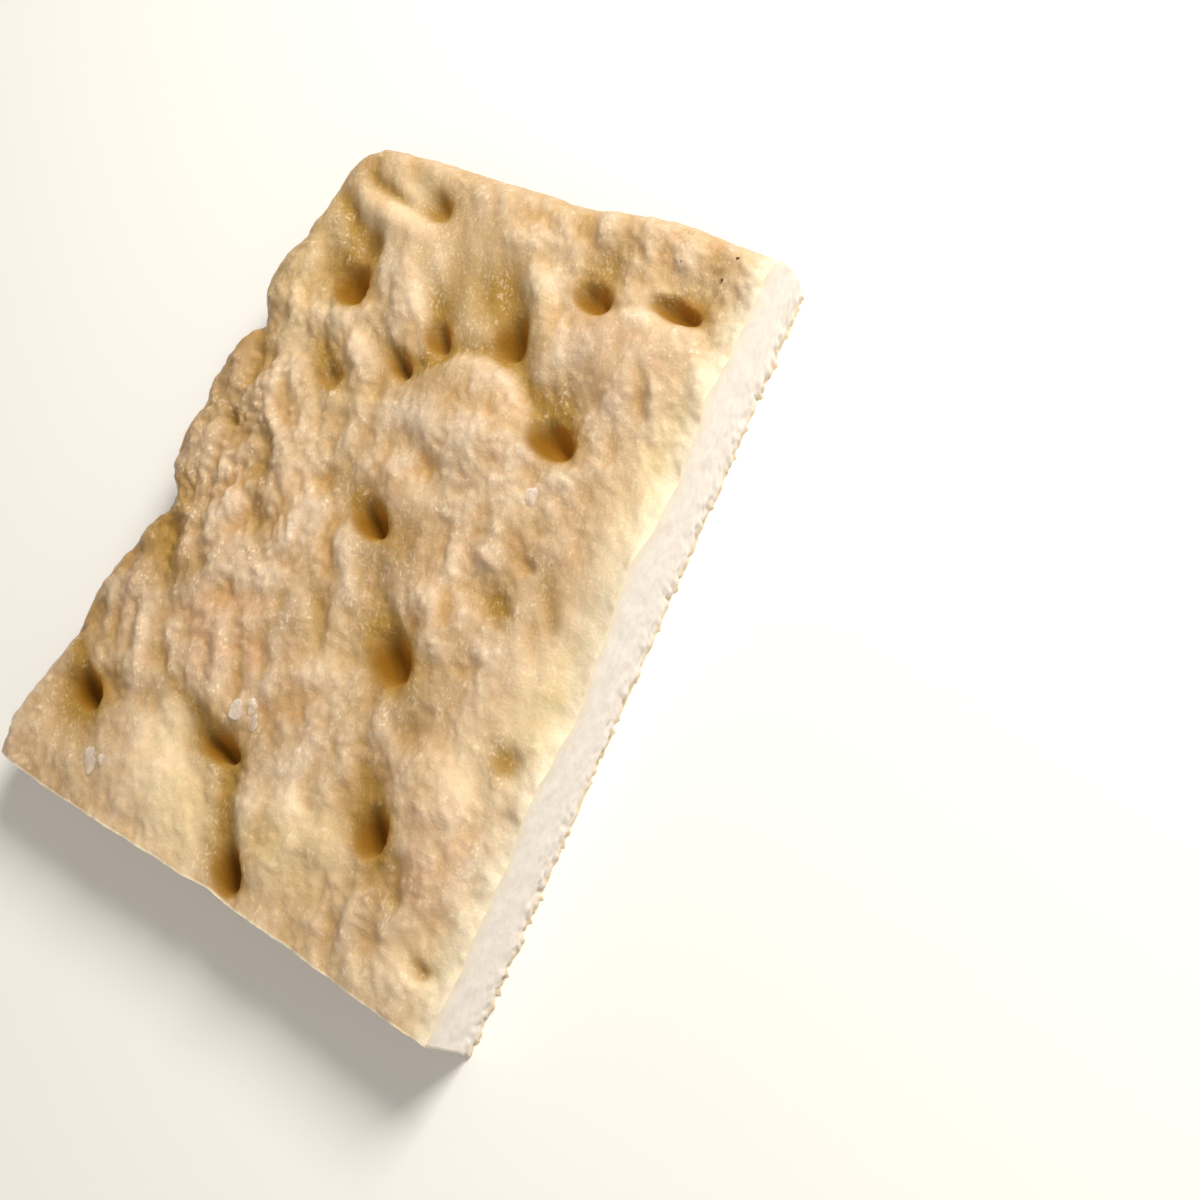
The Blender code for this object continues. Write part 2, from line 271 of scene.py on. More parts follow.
def waves(at: Array, table: Sequence[Wave]) -> Array:
    """The push of an edge outward at each place along it."""
    return sum(wave.push * np.exp(-(((at - wave.at) / wave.reach) ** 2)) for wave in table)


def drift(first: Array, second: Array, seed: float) -> Array:
    """Smooth noise between -1 and 1, one value for each pair of numbers."""
    return np.array([noise.noise((a, b, seed)) for a, b in zip(first.tolist(), second.tolist())])


def turned(x: Array, y: Array, degrees: Union[float, Array]) -> tuple[Array, Array]:
    """Position along a direction, and across it."""
    angle = np.radians(degrees)
    return x * np.cos(angle) + y * np.sin(angle), y * np.cos(angle) - x * np.sin(angle)


def ramp(value: Array, low: float, high: float) -> Array:
    """A soft step from 0 at low to 1 at high."""
    share = np.clip((value - low) / (high - low), 0.0, 1.0)
    return share * share * (3.0 - 2.0 * share)


# The rows of the swells are x, y, along, across, turn, rise, and firm where it isn't 1.

# Holes pressed by finger ends, nearly to the bottom of the dough.
DIMPLES = swells(
    (-33.5, 87.5, 5, 3.2, -22, -2.8, 1.3), (-48, 60, 5, 4.1, -60, -6.5, 1.4),
    (-48, 71.5, 5.2, 3.6, -80, -2.2, 1.3), (27, 76.8, 5.2, 3.2, -14, -5, 1.45),
    (51.3, 80.2, 6.2, 2.4, -8, -5, 1.45), (9.6, 60.2, 5.3, 3.5, -66, -6, 1.4),
    (-40, 34.3, 4.2, 3, -35, -2.8, 1.4), (-20, 43.8, 4.6, 2.4, -30, -4.2, 1.6),
    (-12.4, 53.8, 4.6, 2.8, -40, -4.2, 1.6), (35, 39, 5.8, 3.5, -13, -6.8, 1.45),
    (-4.8, 2.8, 5.4, 3.1, -24, -6, 1.45), (-64.5, 13, 3.2, 2.2, -35, -2.2, 1.4),
    (43, -3.6, 4.4, 3, -20, -0.8, 1.2), (21.2, -26.8, 6, 4.1, -38, -6.8, 1.4),
    (-66.8, -70.6, 5.4, 3.6, -34, -7, 1.4), (-15.4, -66.8, 5.9, 2.5, -6, -6.4, 1.45),
    (65.8, -36.6, 4.6, 3.6, -20, -0.7, 1.2), (39.3, -66.4, 5.2, 3.8, -56, -6.4, 1.4),
    (5.4, -92.4, 5.6, 3.5, -48, -6.2, 1.4), (69.2, -89.2, 3.6, 2, -8, -1.4, 1.3),
    (46.6, 7.6, 2.4, 1.8, 0, -0.9, 1.3),
)

# Slopes that run down into the holes, where the oil gathered.
HOLLOWS = swells(
    (-39, 91, 11, 5, -20, -1.5), (-54, 62, 9, 8, -60, -1.7), (-60, 79, 11, 4, -48, -1),
    (28, 86, 9, 7, 80, -2.1), (55, 88, 9, 6.5, 80, -2), (3, 69, 13, 6.5, -58, -1.9),
    (-17, 61, 11, 5.5, -48, -1.3), (-47, 42, 11, 5.5, -40, -1.5), (-28, 47, 10, 5, -28, -1.5),
    (33, 46.5, 9, 7, -45, -2.2), (-8, 6, 10, 6.5, -28, -2.1), (-67, 17, 6, 4, -30, -0.9),
    (40, -1.5, 8, 5.5, -25, -0.9), (16, -23, 11, 8, -36, -2.5), (25, -38, 8, 6, -40, -0.7),
    (-69.5, -74, 9.5, 7, -40, -2.2), (-58, -81, 10, 6, -20, -0.7), (-20, -68, 12, 5.5, -6, -2.1),
    (62, -36, 9, 7, -20, -1), (36, -64, 9, 7.5, -50, -2.2), (0, -91, 9, 7, -40, -2.2),
    (66, 86, 6, 5, 0, -0.9), (78, 40, 9, 7, 90, -1.2), (79, -20, 9, 9, 90, -1.9), (81, -84, 7, 8, 90, -1),
)

# Cushions of crust between the holes.
PILLOWS = swells(
    (-52, 47.5, 14, 4.5, -12, 1.6), (-27, 66, 15, 7.5, -66, 2.4, 1.4), (-41, 77, 8, 5.5, -30, 1.6),
    (-47, 81.5, 15, 3.8, -11, 1.6, 1.4), (8, 37, 18.5, 14.5, -14, 3.2, 1.8),
    (47, 65, 20, 12.5, -14, 2.6, 1.8), (13, 73, 11, 5, -55, 2), (22, 60, 11, 4, -62, 1.6),
    (-3, 86, 11, 9, -30, 1.6), (44, 56, 9, 9, 0, 1), (-36, 43, 4.5, 4, 0, 1.2), (-68, 62, 5, 11, 0, 1.4),
    (-66, 48, 6, 6, 0, 1.2), (-70, 30, 6, 9, -15, 1.2), (-56, 24, 7, 8, 0, 1.3), (-72, 3, 7, 9, 0, 1.4),
    (-2, 13, 11, 6, -22, 1.8), (-35, 1, 18, 6.5, -62, 1.4), (-48, -15, 12, 5, -60, 1.4),
    (27, -12, 11, 9, -40, 2.2), (-38, -38, 22, 13, -30, 1), (-68, -44, 6, 11, -15, 1.2),
    (-57, -58, 9, 9, 0, 1.2), (-36, -84, 24, 11, -5, 1.4, 1.4), (-76, -91, 8, 8, 0, 1),
    (11, -79, 11, 9, -50, 2.2), (49, -51, 13, 9, -62, 2.4), (62, -68, 9, 13, 15, 1.4),
    (76, -45, 6, 9, 0, 1.6), (-2, -42, 13, 10, -50, 1.2), (34, 14, 16, 9, -20, 1), (73, 14, 9, 12, 0, 2.6),
    (74, 62, 9, 10, 0, 2.2),
)

CREASES = (
    Crease(((-60, 98), (-60.5, 92), (-57, 89.5), (-47, 87), (-38, 84.5)), 2.0, 1.2),
    Crease(((-70, 87), (-63, 81), (-56, 76), (-50, 71)), 3.0, 0.8),
    Crease(((-76, 42), (-69, 38), (-66, 30), (-64, 22)), 2.8, 1.0),
    Crease(((-54, 17), (-46, 4), (-38, -8), (-30, -20)), 4.8, 0.95),
    Crease(((-74, -13), (-66, -24), (-56, -37)), 4.0, 1.7),
    Crease(((-84, -56), (-77, -61), (-70, -66)), 3.2, 1.4),
    Crease(((-52, -51), (-38, -59), (-20, -63)), 3.2, 1.0),
    Crease(((-10, -69), (-5, -79), (2, -88)), 3.8, 1.3),
    Crease(((26, -51), (36, -60)), 3.2, 1.0),
    Crease(((46, -69), (44, -80)), 2.5, 0.8),
    Crease(((49, -66), (57, -81)), 3.2, 1.0),
    Crease(((49, 10), (56, 2), (63, -6)), 2.8, 0.8),
    Crease(((40, 18), (44, 16), (49, 17.5)), 1.5, 0.5),
    Crease(((63, -85.5), (70, -88.5), (74, -88)), 1.6, 0.6),
    Crease(((16, 53.5), (24, 48), (31, 42)), 3.0, 1.2),
    Crease(((-16, 41), (-8, 49), (-3, 53), (7, 55), (16, 53)), 3.0, 1.2),
    Crease(((31, 74.5), (42, 78.5), (50, 79)), 2.5, 0.8),
    Crease(((-14, -14), (-4, -27), (4, -40)), 4.0, 0.8),
    Crease(((-30, 74), (-18, 62), (-10, 56)), 3.2, 0.8),
)

# Single folds of the loose skin, and the narrow valleys between them where rise is negative.
FOLDS = swells(
    # The rough left side and the middle.
    (-66.5, 36, 3.5, 2, -60, 0.9), (-70.4, 23, 4, 3, -65, 0.9), (-63.7, 21, 3, 2, -65, 0.7),
    (-55, 21, 3.2, 2.6, -70, 0.9), (-40.3, 20, 4.5, 2, -60, 1), (-23.5, 21, 3, 1.6, -60, 0.7),
    (-71.6, 5.5, 5, 4, 80, 0.9), (-54.8, 7.3, 3, 2, -60, 0.7), (-44.5, 13, 3, 1.8, -60, 0.8),
    (-29, 5, 5.5, 1.8, -45, 1.1), (-47.3, -2, 3, 2, -60, 0.8), (-39.4, -0.6, 2.5, 1.6, -60, 0.6),
    (-25.4, -9, 4.5, 1.8, -75, 0.9), (-41, -14.5, 11, 3.2, -40, 1.2, 1.4), (-57.6, -24.4, 4.5, 3.2, -70, 1),
    (-51.5, -18, 2.6, 2, -70, 0.7), (-63.7, -15, 2.4, 2, -60, 0.6), (-66, -24.4, 3.2, 2, -80, 0.7),
    (-45, -27, 4, 2, -60, 0.6), (-22, -26, 5, 2.4, -60, 0.8), (-12, -24, 5, 2.4, -60, 0.7),
    (-66.6, 27.6, 4.5, 1.8, -67, -0.6), (-70, 18, 5, 2.3, -40, -0.6), (-60, 14.8, 2.4, 2.1, -40, -0.5),
    (-25, 12, 8, 2.1, -62, -0.6), (-51.7, -22, 4.5, 2.1, -67, -0.6), (-18, -26, 6, 1.8, -60, -0.4),
    # The combed skin between the left edge and the near holes.
    (-72, -47, 7, 1.8, -72, 1), (-64.5, -46, 8, 1.8, -70, 1.1), (-57.5, -49, 9, 1.8, -68, 1.1),
    (-49, -46, 7, 2.2, -60, 0.9), (-43, -55, 7, 2, -55, 0.8), (-38, -47, 6, 2, -65, 0.8),
    (-27, -50, 8, 3, -62, 1.2), (-30, -42, 5, 2, -65, 0.6), (-51, -58, 6, 1.6, -60, 0.7),
    (-68.3, -49, 8, 1.6, -70, -0.6), (-61, -51, 9, 1.6, -68, -0.7), (-53.5, -51, 8, 1.8, -62, -0.6),
    (-46, -53, 8, 2.1, -55, -0.7), (-33, -46, 6, 1.8, -60, -0.5), (-21, -48, 7, 2.3, -60, -0.6),
    # The near right part.
    (14, -68, 6, 3, -60, 1), (25, -56, 5, 2.2, -50, 0.7), (28, -44, 4, 2.5, -60, 0.7),
    (31, -84, 5, 1.8, -70, 0.7), (37, -90, 6, 1.8, -65, 0.7), (46, -87, 8, 2.2, -75, 1),
    (56, -75, 4, 2, -60, 0.9), (61, -72, 6, 2.2, -60, 0.8), (52, -97, 4, 2, -80, 0.6),
    (66, -92, 5, 5, 0, 0.5), (61, -57, 6, 2, -70, 0.8), (70, -66, 8, 3, -65, 0.7), (8, -48, 6, 3, -60, 0.6),
    (13, -60, 4, 2, -40, 0.6), (42, -84, 7, 1.8, -80, -0.6), (51.5, -84, 9, 2.1, -70, -0.7),
    (34.5, -86, 7, 1.7, -65, -0.5), (19, -56, 7, 2.1, -50, -0.6), (33, -50, 7, 2.6, -60, -0.6),
    (57, -66, 6, 1.8, -60, -0.5), (27, -92, 6, 2.1, -60, -0.5), (60, -85, 6, 2.1, -40, -0.4),
    # The middle right part, with a few round lumps.
    (6, 24.5, 2.6, 2.2, 0, 0.7), (26, 23.5, 3.2, 2.8, 0, 0.8), (33, 13.5, 3.2, 2.6, -40, 0.8),
    (34, 5.5, 3.2, 2, -20, 0.7), (16, 12, 3, 2, -60, 0.7), (52.5, 6, 3.6, 3.2, -60, 0.6),
    (28, -2, 6, 2, -60, 0.7), (14, 3, 7, 1.8, -62, 0.7), (57, 22, 4, 2, -60, 0.5),
    (63, 16, 5, 1.8, -60, 0.4), (45, 31, 4, 3, 0, 0.6), (44.5, 23, 3, 2.4, 0, 0.6),
    (8, -4, 4, 2.4, -50, 0.7), (3, -16, 4, 2.6, -60, 0.7), (13, -8, 7, 1.8, -55, 0.7),
    (37, -14, 6, 3, -60, 0.6), (50, -20, 6, 3, -50, 0.5), (21, 3, 8, 2, -60, -0.6),
    (17, -12, 7, 1.8, -50, -0.6), (55, -6, 8, 1.7, -62, -0.3), (44, 10, 4, 3.9, -30, -0.6),
    (10, 17, 5, 2.6, -20, -0.4), (52, 27, 7, 1.8, -62, -0.5), (31, -12, 6, 2.1, -80, -0.4),
    (5, -10, 5, 1.7, -60, -0.3),
    # The far right part.
    (29, 55, 7, 1.6, -62, 0.9), (58, 57, 5, 1.8, -64, 0.9), (62, 61, 5, 1.8, -64, 0.5),
    (16, 86, 6, 1.8, -50, 0.7), (8, 93, 5, 2, -40, 0.5), (46, 93, 5, 2.5, -35, 0.6),
    (38, 92, 6, 2, -50, 0.6), (33, 65, 4, 2, -60, 0.5), (47, 74, 6, 3, -20, 0.4), (24, 65, 6, 2, -70, 0.5),
    (54, 57.5, 6, 1.8, -64, -0.4), (50, 63, 6, 1.8, -62, -0.3), (56, 93, 7, 2.6, -45, -0.4),
    (66, 93, 5, 2.6, -60, -0.3), (33, 93, 7, 2, -55, -0.3), (12, 90, 6, 2, -50, -0.2),
    (36, 60, 8, 2, -65, -0.2), (10, 82, 7, 2.6, -50, -0.4),
    # The far left part, where the folds run down to the oily holes.
    (-20, 70, 7, 1.6, -58, 0.5), (-26, 64, 8, 1.8, -60, 0.5), (-15, 80, 8, 1.8, -50, 0.4),
    (-62, 75, 8, 2, -60, 0.5), (-55, 70, 7, 1.6, -60, 0.3), (-65, 66, 7, 2, -60, 0.5),
    (-20, 57, 8, 1.4, -50, 0.5), (-27, 52, 9, 1.6, -48, 0.5), (-40, 46, 8, 3, -40, 0.3),
    (-8, 65, 8, 1.6, -58, 0.4), (-3, 72, 8, 1.6, -58, 0.4), (-23, 67, 8, 1.7, -58, -0.2),
    (-17.5, 75, 8, 1.7, -55, -0.2), (-66, 81, 8, 2.6, -60, -0.2), (-70, 67, 6, 2.1, -45, -0.2),
    (-24, 58, 9, 1.7, -50, -0.2), (-6, 69, 9, 1.7, -56, -0.2), (-12, 62, 8, 1.7, -56, -0.2),
)

# Each edge wanders a little, and the left edge is notched where the dough folded.
LEFT_WAVES = (
    Wave(58, 14, 4.2), Wave(25, 12, 3.0), Wave(3, 8, 2.2), Wave(-14, 7.5, -6.5), Wave(-27, 9, -3.6),
    Wave(42, 4.5, -3.2), Wave(14, 4, -1.0), Wave(69, 3.5, -1.4), Wave(-62, 4.5, -1.4), Wave(-89, 9, 2.6),
)
FAR_WAVES = (Wave(38, 22, 2.4), Wave(-40, 16, 0.6), Wave(8, 9, -0.7))
NEAR_WAVES = (Wave(82, 50, 3.4), Wave(-84, 14, -1.4), Wave(2, 7, -0.6))

# How loose the skin is, over or under the common share of wrinkles: a rise has more of them.
LOOSENESS = swells(
    (-62, 4, 44, 18, 80, 0.6), (-42, -10, 24, 12, -60, 0.2), (-74, -40, 14, 10, 80, 0.2),
    (42, 68, 18, 10, -14, -0.35), (6, 6, 20, 18, 0, -0.15), (-40, -86, 26, 10, -5, -0.2),
    (64, 0, 16, 44, 0, -0.4), (-50, 84, 30, 18, -8, -0.35), (-10, 70, 24, 18, -40, -0.5),
)

# Where more oil gathered than the hollows hold, or less where negative.
OILY = swells(
    (-8, 72, 22, 12, -55, 0.4), (-45, 38, 26, 9, -25, 0.45), (-68, 70, 9, 14, 0, 0.25),
    (-72, -83, 10, 12, 0, 0.15), (-14, -88, 16, 12, -30, -0.3), (-21, -60, 7, 5, -10, 0.4),
    (28, -80, 10, 12, 0, 0.1), (-8, 46, 9, 5, -20, 0.5), (78, 40, 12, 12, 0, -0.7),
    (78, -20, 14, 16, 0, -0.9), (80, -84, 10, 12, 0, -0.4), (56, 90, 10, 6, 0, -0.4),
    (74, 10, 8, 70, 0, -0.4), (44, -4.5, 5, 3.6, -20, 0.5), (66, -37.5, 5, 4, -20, 0.6),
    (-32, -66, 7, 6, 0, -0.35), (-40, 90, 6, 5, 0, -0.4), (-54, 38, 7, 7, 0, -0.35),
)

# Where the crust baked to a pinker tan.
BLUSHES = swells(
    (-34, -38, 26, 18, -30, 0.6), (48, 68, 18, 11, -14, 0.4), (62, -64, 13, 17, 0, 0.7),
    (61, 14, 12, 18, 0, 0.6), (-36, -88, 22, 9, 0, 0.5), (-50, 2, 16, 16, 0, 0.15),
    (0, -45, 16, 12, 0, 0.4), (-22, 84, 24, 9, -10, 0.15), (20, 6, 16, 10, 0, 0.3),
)

# Patches made lighter: paler crust, and painted light over shaded hollows.
PALE_AND_LIGHT = swells(
    (68, 30, 9, 36, 0, 0.75), (66, -24, 10, 30, 0, 0.8), (-38, -88, 30, 12, 0, 0.45),
    (-16, -92, 14, 12, 0, 0.6), (-28, -72, 11, 10, 0, 0.6), (24, -74, 13, 10, 0, 0.6),
    (66, -88, 12, 10, 0, 0.7), (48, -50, 10, 8, -60, 0.2), (-58, 48, 16, 7, -10, 0.3),
    (-38, 28, 16, 8, -10, 0.4), (34, 20, 14, 6, -20, 0.15), (-36, 92, 12, 6, 0, 0.6),
    (-48, 78, 12, 6, -10, 0.4), (52, 82, 14, 8, 0, 0.5), (-40, 89, 8, 6, 0, 0.8), (-55, 41, 9, 6, 0, 0.8),
    (-30, 30, 9, 6, 0, 0.3), (2, -29, 8, 8, 0, 0.4), (55, -40, 9, 7, 0, 0.35), (-31, -65, 9, 8, 0, 1),
    (31, -78, 9, 11, 0, 0.6), (30, -101, 14, 5, 0, 0.4), (8, -40, 8, 7, 0, 0.3), (60, -41, 7, 7, 0, 0.4),
    (52, -101, 8, 5, 0, 0.5),
)

# Patches made darker: browner crust, and painted shade where the light leaves the crust dim.
DARKER_AND_SHADE = swells(
    (-74, 20, 15, 52, 0, 0.75), (-66, -32, 14, 16, 0, 0.5), (-58, -62, 18, 10, 0, 0.4),
    (-68, 100, 14, 8, 0, 0.6), (0, 103, 44, 6, 0, 0.5), (9, -1, 10, 9, -30, 0.9),
    (-11, -31, 8, 8, -30, 0.6), (38, -34, 8, 16, 0, 0.5), (50, -79, 9, 14, 0, 0.5),
    (44, 12, 14, 7, 0, 0.35), (-42, -20, 12, 12, 0, 0.25), (12, -50, 14, 10, 0, 0.15),
    (14, -86, 8, 7, 0, 0.35), (-58, -90, 14, 10, 0, 0.25), (-72, 96, 8, 12, 0, 0.5),
    (-72, 70, 6, 8, 0, 0.4), (-73, 40, 5, 7, 0, 0.4), (-70, -18, 6, 10, 0, 0.5), (-52, -30, 8, 6, 0, 0.7),
    (-50, 12, 14, 7, -40, 0.45), (-28, -42, 8, 6, 0, 0.3), (20, 60, 7, 6, 0, 0.3), (-10, 38, 8, 5, 0, 0.35),
    (-14, -62, 10, 5, 0, 0.4), (0, -60, 8, 6, 0, 0.3), (-50, -81, 9, 6, 0, 0.3), (9, -82, 8, 6, 0, 0.3),
    (30, -31, 8, 8, 0, 0.3), (61, 72, 8, 8, 0, 0.25), (72, -32, 7, 10, 0, 0.3), (34, -38, 9, 8, 0, 0.15),
    (-58, 20, 8, 9, 0, 0.15), (-76, 58, 5, 24, 0, 0.4), (-68, -16, 6, 9, 0, 0.4),
)

# Where thin oil soaked in over pale crust.
YELLOWED = swells(
    (70, 44, 9, 18, 0, 0.6), (74, -20, 9, 14, 0, 0.8), (78, -84, 7, 14, 0, 0.5), (16, -82, 12, 10, 0, 0.4),
    (-14, -84, 14, 10, 0, 0.4), (-62, 66, 18, 18, 0, 0.3), (-4, 70, 22, 16, 0, 0.3),
)

# Charred specks near the far corner of the cut.
SPECKS = (
    Flake(60.1, 97.7, 20, 0.8, 0.65), Flake(58.7, 91.4, -40, 0.8, 0.6), Flake(46.7, 92.4, 10, 0.4, 0.4),
)

# Coarse salt that melted into the oil.
SALT = (
    Flake(-51.8, -86.8, -56, 5.6, 3.8), Flake(-47.4, -84.9, -78, 2.8, 2.0),
    Flake(-10.4, -53.6, -58, 3.6, 2.6), Flake(-8.2, -57.3, -58, 4.6, 3.2),
    Flake(-14.4, -56.2, -63, 4.6, 3.2), Flake(38.4, 24.0, -75, 4.2, 2.6),
)

# The tints that are patches and nothing else.
PATCHES = {Tint.BLUSH: BLUSHES, Tint.PALE_AND_LIGHT: PALE_AND_LIGHT, Tint.TAN: DARKER_AND_SHADE, Tint.YELLOW: YELLOWED}


@dataclass(frozen=True)
class Grains:
    """Lumps as large as a grain of rice under the whole skin. They overlap and mostly lean one way."""

    left: float = -95.0
    right: float = 95.0
    near: float = -112.0
    far: float = 112.0
    spacing: float = 2.3
    lengths: Span = (1.9, 4.2)
    widths: Span = (1.3, 2.3)
    heights: Span = (0.2, 1.3)
    scatter: float = 26.0
    blend: float = 3.0
    seed: int = 5

    def at(self, x: Array, y: Array, leans: Callable[[Array, Array], Array]) -> Array:
        """Works out the height of the lumps.

        Args:
            x: Places across the piece.
            y: Places along the piece.
            leans: A function that gives the lean of the skin at a place, in degrees.

        Returns:
            The height of the lumps over the dough between them.
        """
        draw = np.random.default_rng(self.seed)
        columns = np.arange(self.left, self.right, self.spacing)
        rows = np.arange(self.near, self.far, self.spacing)
        middles = np.stack(np.meshgrid(columns, rows), axis=-1).reshape(-1, 2)
        middles += draw.uniform(-0.5, 0.5, middles.shape) * self.spacing
        lengths, widths, heights = (
            draw.uniform(*sizes, len(middles)) for sizes in (self.lengths, self.widths, self.heights)
        )
        turns = leans(*middles.T) + draw.normal(0.0, self.scatter, len(middles))
        order = np.argsort(y)
        row_x, row_y = x[order], y[order]
        reach = self.lengths[1]
        first = np.searchsorted(row_y, middles[:, 1] - reach)
        last = np.searchsorted(row_y, middles[:, 1] + reach)
        total = np.zeros(len(x))
        for at, (middle_x, middle_y) in enumerate(middles):
            near = slice(first[at], last[at])
            along, across = turned(row_x[near] - middle_x, row_y[near] - middle_y, turns[at])
            dome = 1.0 - (along / lengths[at]) ** 2 - (across / widths[at]) ** 2
            total[near] += (heights[at] * np.clip(dome, 0.0, None) ** 2) ** self.blend
        level = np.empty_like(total)
        level[order] = total ** (1.0 / self.blend)
        return level


@dataclass(frozen=True)
class Skin:
    """The fine relief of the crust: knolls, soft folds that lean one way, and grains over them."""

    warp_size: float = 11.0
    warp_reach: float = 2.4
    lean: float = -60.0
    turn_x: float = 0.15
    turn_y: float = 0.05
    sway_size: float = 24.0
    sway: float = 16.0
    fold_width: float = 6.0
    fold_length: float = 12.0
    fold_height: float = 1.75
    grain_height: float = 0.9
    grain_middle: float = 0.4
    knoll_size: float = 9.0
    knoll_height: float = 1.75
    grains: Grains = Grains()

    def leans(self, x: Array, y: Array) -> Array:
        """The angle in degrees of the long way of the folds at each place."""
        swayed = self.sway * drift(x / self.sway_size, y / self.sway_size, Slice.SWAY)
        return self.lean + self.turn_x * x + self.turn_y * y + swayed

    def at(self, x: Array, y: Array) -> Array:
        """Works out the height of the fine relief.

        Args:
            x: Places across the piece.
            y: Places along the piece.

        Returns:
            The height over the smooth crust at each place.
        """
        warp_x = x + self.warp_reach * drift(x / self.warp_size, y / self.warp_size, Slice.WARP_X)
        warp_y = y + self.warp_reach * drift(x / self.warp_size, y / self.warp_size, Slice.WARP_Y)
        along, across = turned(warp_x, warp_y, self.lean + self.turn_x * x + self.turn_y * y)
        grains = self.grains.at(x, y, self.leans) - self.grain_middle
        return (
            self.fold_height * drift(across / self.fold_width, along / self.fold_length, Slice.FOLDS)
            + self.knoll_height * drift(warp_x / self.knoll_size, warp_y / self.knoll_size, Slice.KNOLLS)
            + self.grain_height * grains
        )


@dataclass(frozen=True)
class Crumb:
    """The torn crumb of a cut: soft grain, pores on two scales, and crags and teeth along the foot."""

    grain_size: float = 5.0
    grain_height: float = 0.2
    crag_size: float = 5.0
    crag_reach: float = 1.5
    tooth_size: float = 1.5
    tooth_reach: float = 2.2
    ragged_size: float = 6.0
    ragged_span: Span = (-0.7, 0.3)
    pore_size: float = 2.6
    pore_depth: float = 0.05
    pore_span: Span = (0.1, 0.5)
    fine_pore_size: float = 1.3
    fine_pore_depth: float = 0.05
    fine_pore_span: Span = (0.0, 0.5)
    foot_fade: int = 5

    def at(self, along: Array, height: Array, low: Array, cut: Slice) -> Array:
        """Works out how far the crumb stands out of the plane of its cut.

        Args:
            along: Places along the cut.
            height: Heights over the base.
            low: 1 at the foot of the cut and 0 at its top.
            cut: The cut's slice of the noise.

        Returns:
            The distance out of the plane at each place.
        """

        def layer(size: float, number: Layer) -> Array:
            """The noise of one layer, with lumps of one size."""
            return drift(along / size, height / size, cut + number)

        grain = self.grain_height * layer(self.grain_size, Layer.GRAIN)
        crags = np.maximum(layer(self.crag_size, Layer.CRAGS), 0.0)
        teeth = layer(self.tooth_size, Layer.TEETH)
        ragged = ramp(drift(along / self.ragged_size, low, cut + Layer.RAGGED), *self.ragged_span)
        pores = ramp(layer(self.pore_size, Layer.PORES), *self.pore_span)
        fine = ramp(layer(self.fine_pore_size, Layer.FINE_PORES), *self.fine_pore_span)
        foot = low**self.foot_fade
        outward = grain + self.crag_reach * foot * crags + self.tooth_reach * foot * teeth * ragged
        return outward - self.pore_depth * pores - self.fine_pore_depth * fine


@dataclass(frozen=True)
class Crust:
    """The crust over each point of the bread, as one value for each point.

    broad is its height without folds, fall is its drop at a baked edge, top is its finished height, and
    the gaps are the distances from the nearest baked edge and from the long cut.
    """

    x: Array
    y: Array
    broad: Array
    folds: Array
    fall: Array
    top: Array
    rim_gap: Array
    cut_gap: Array


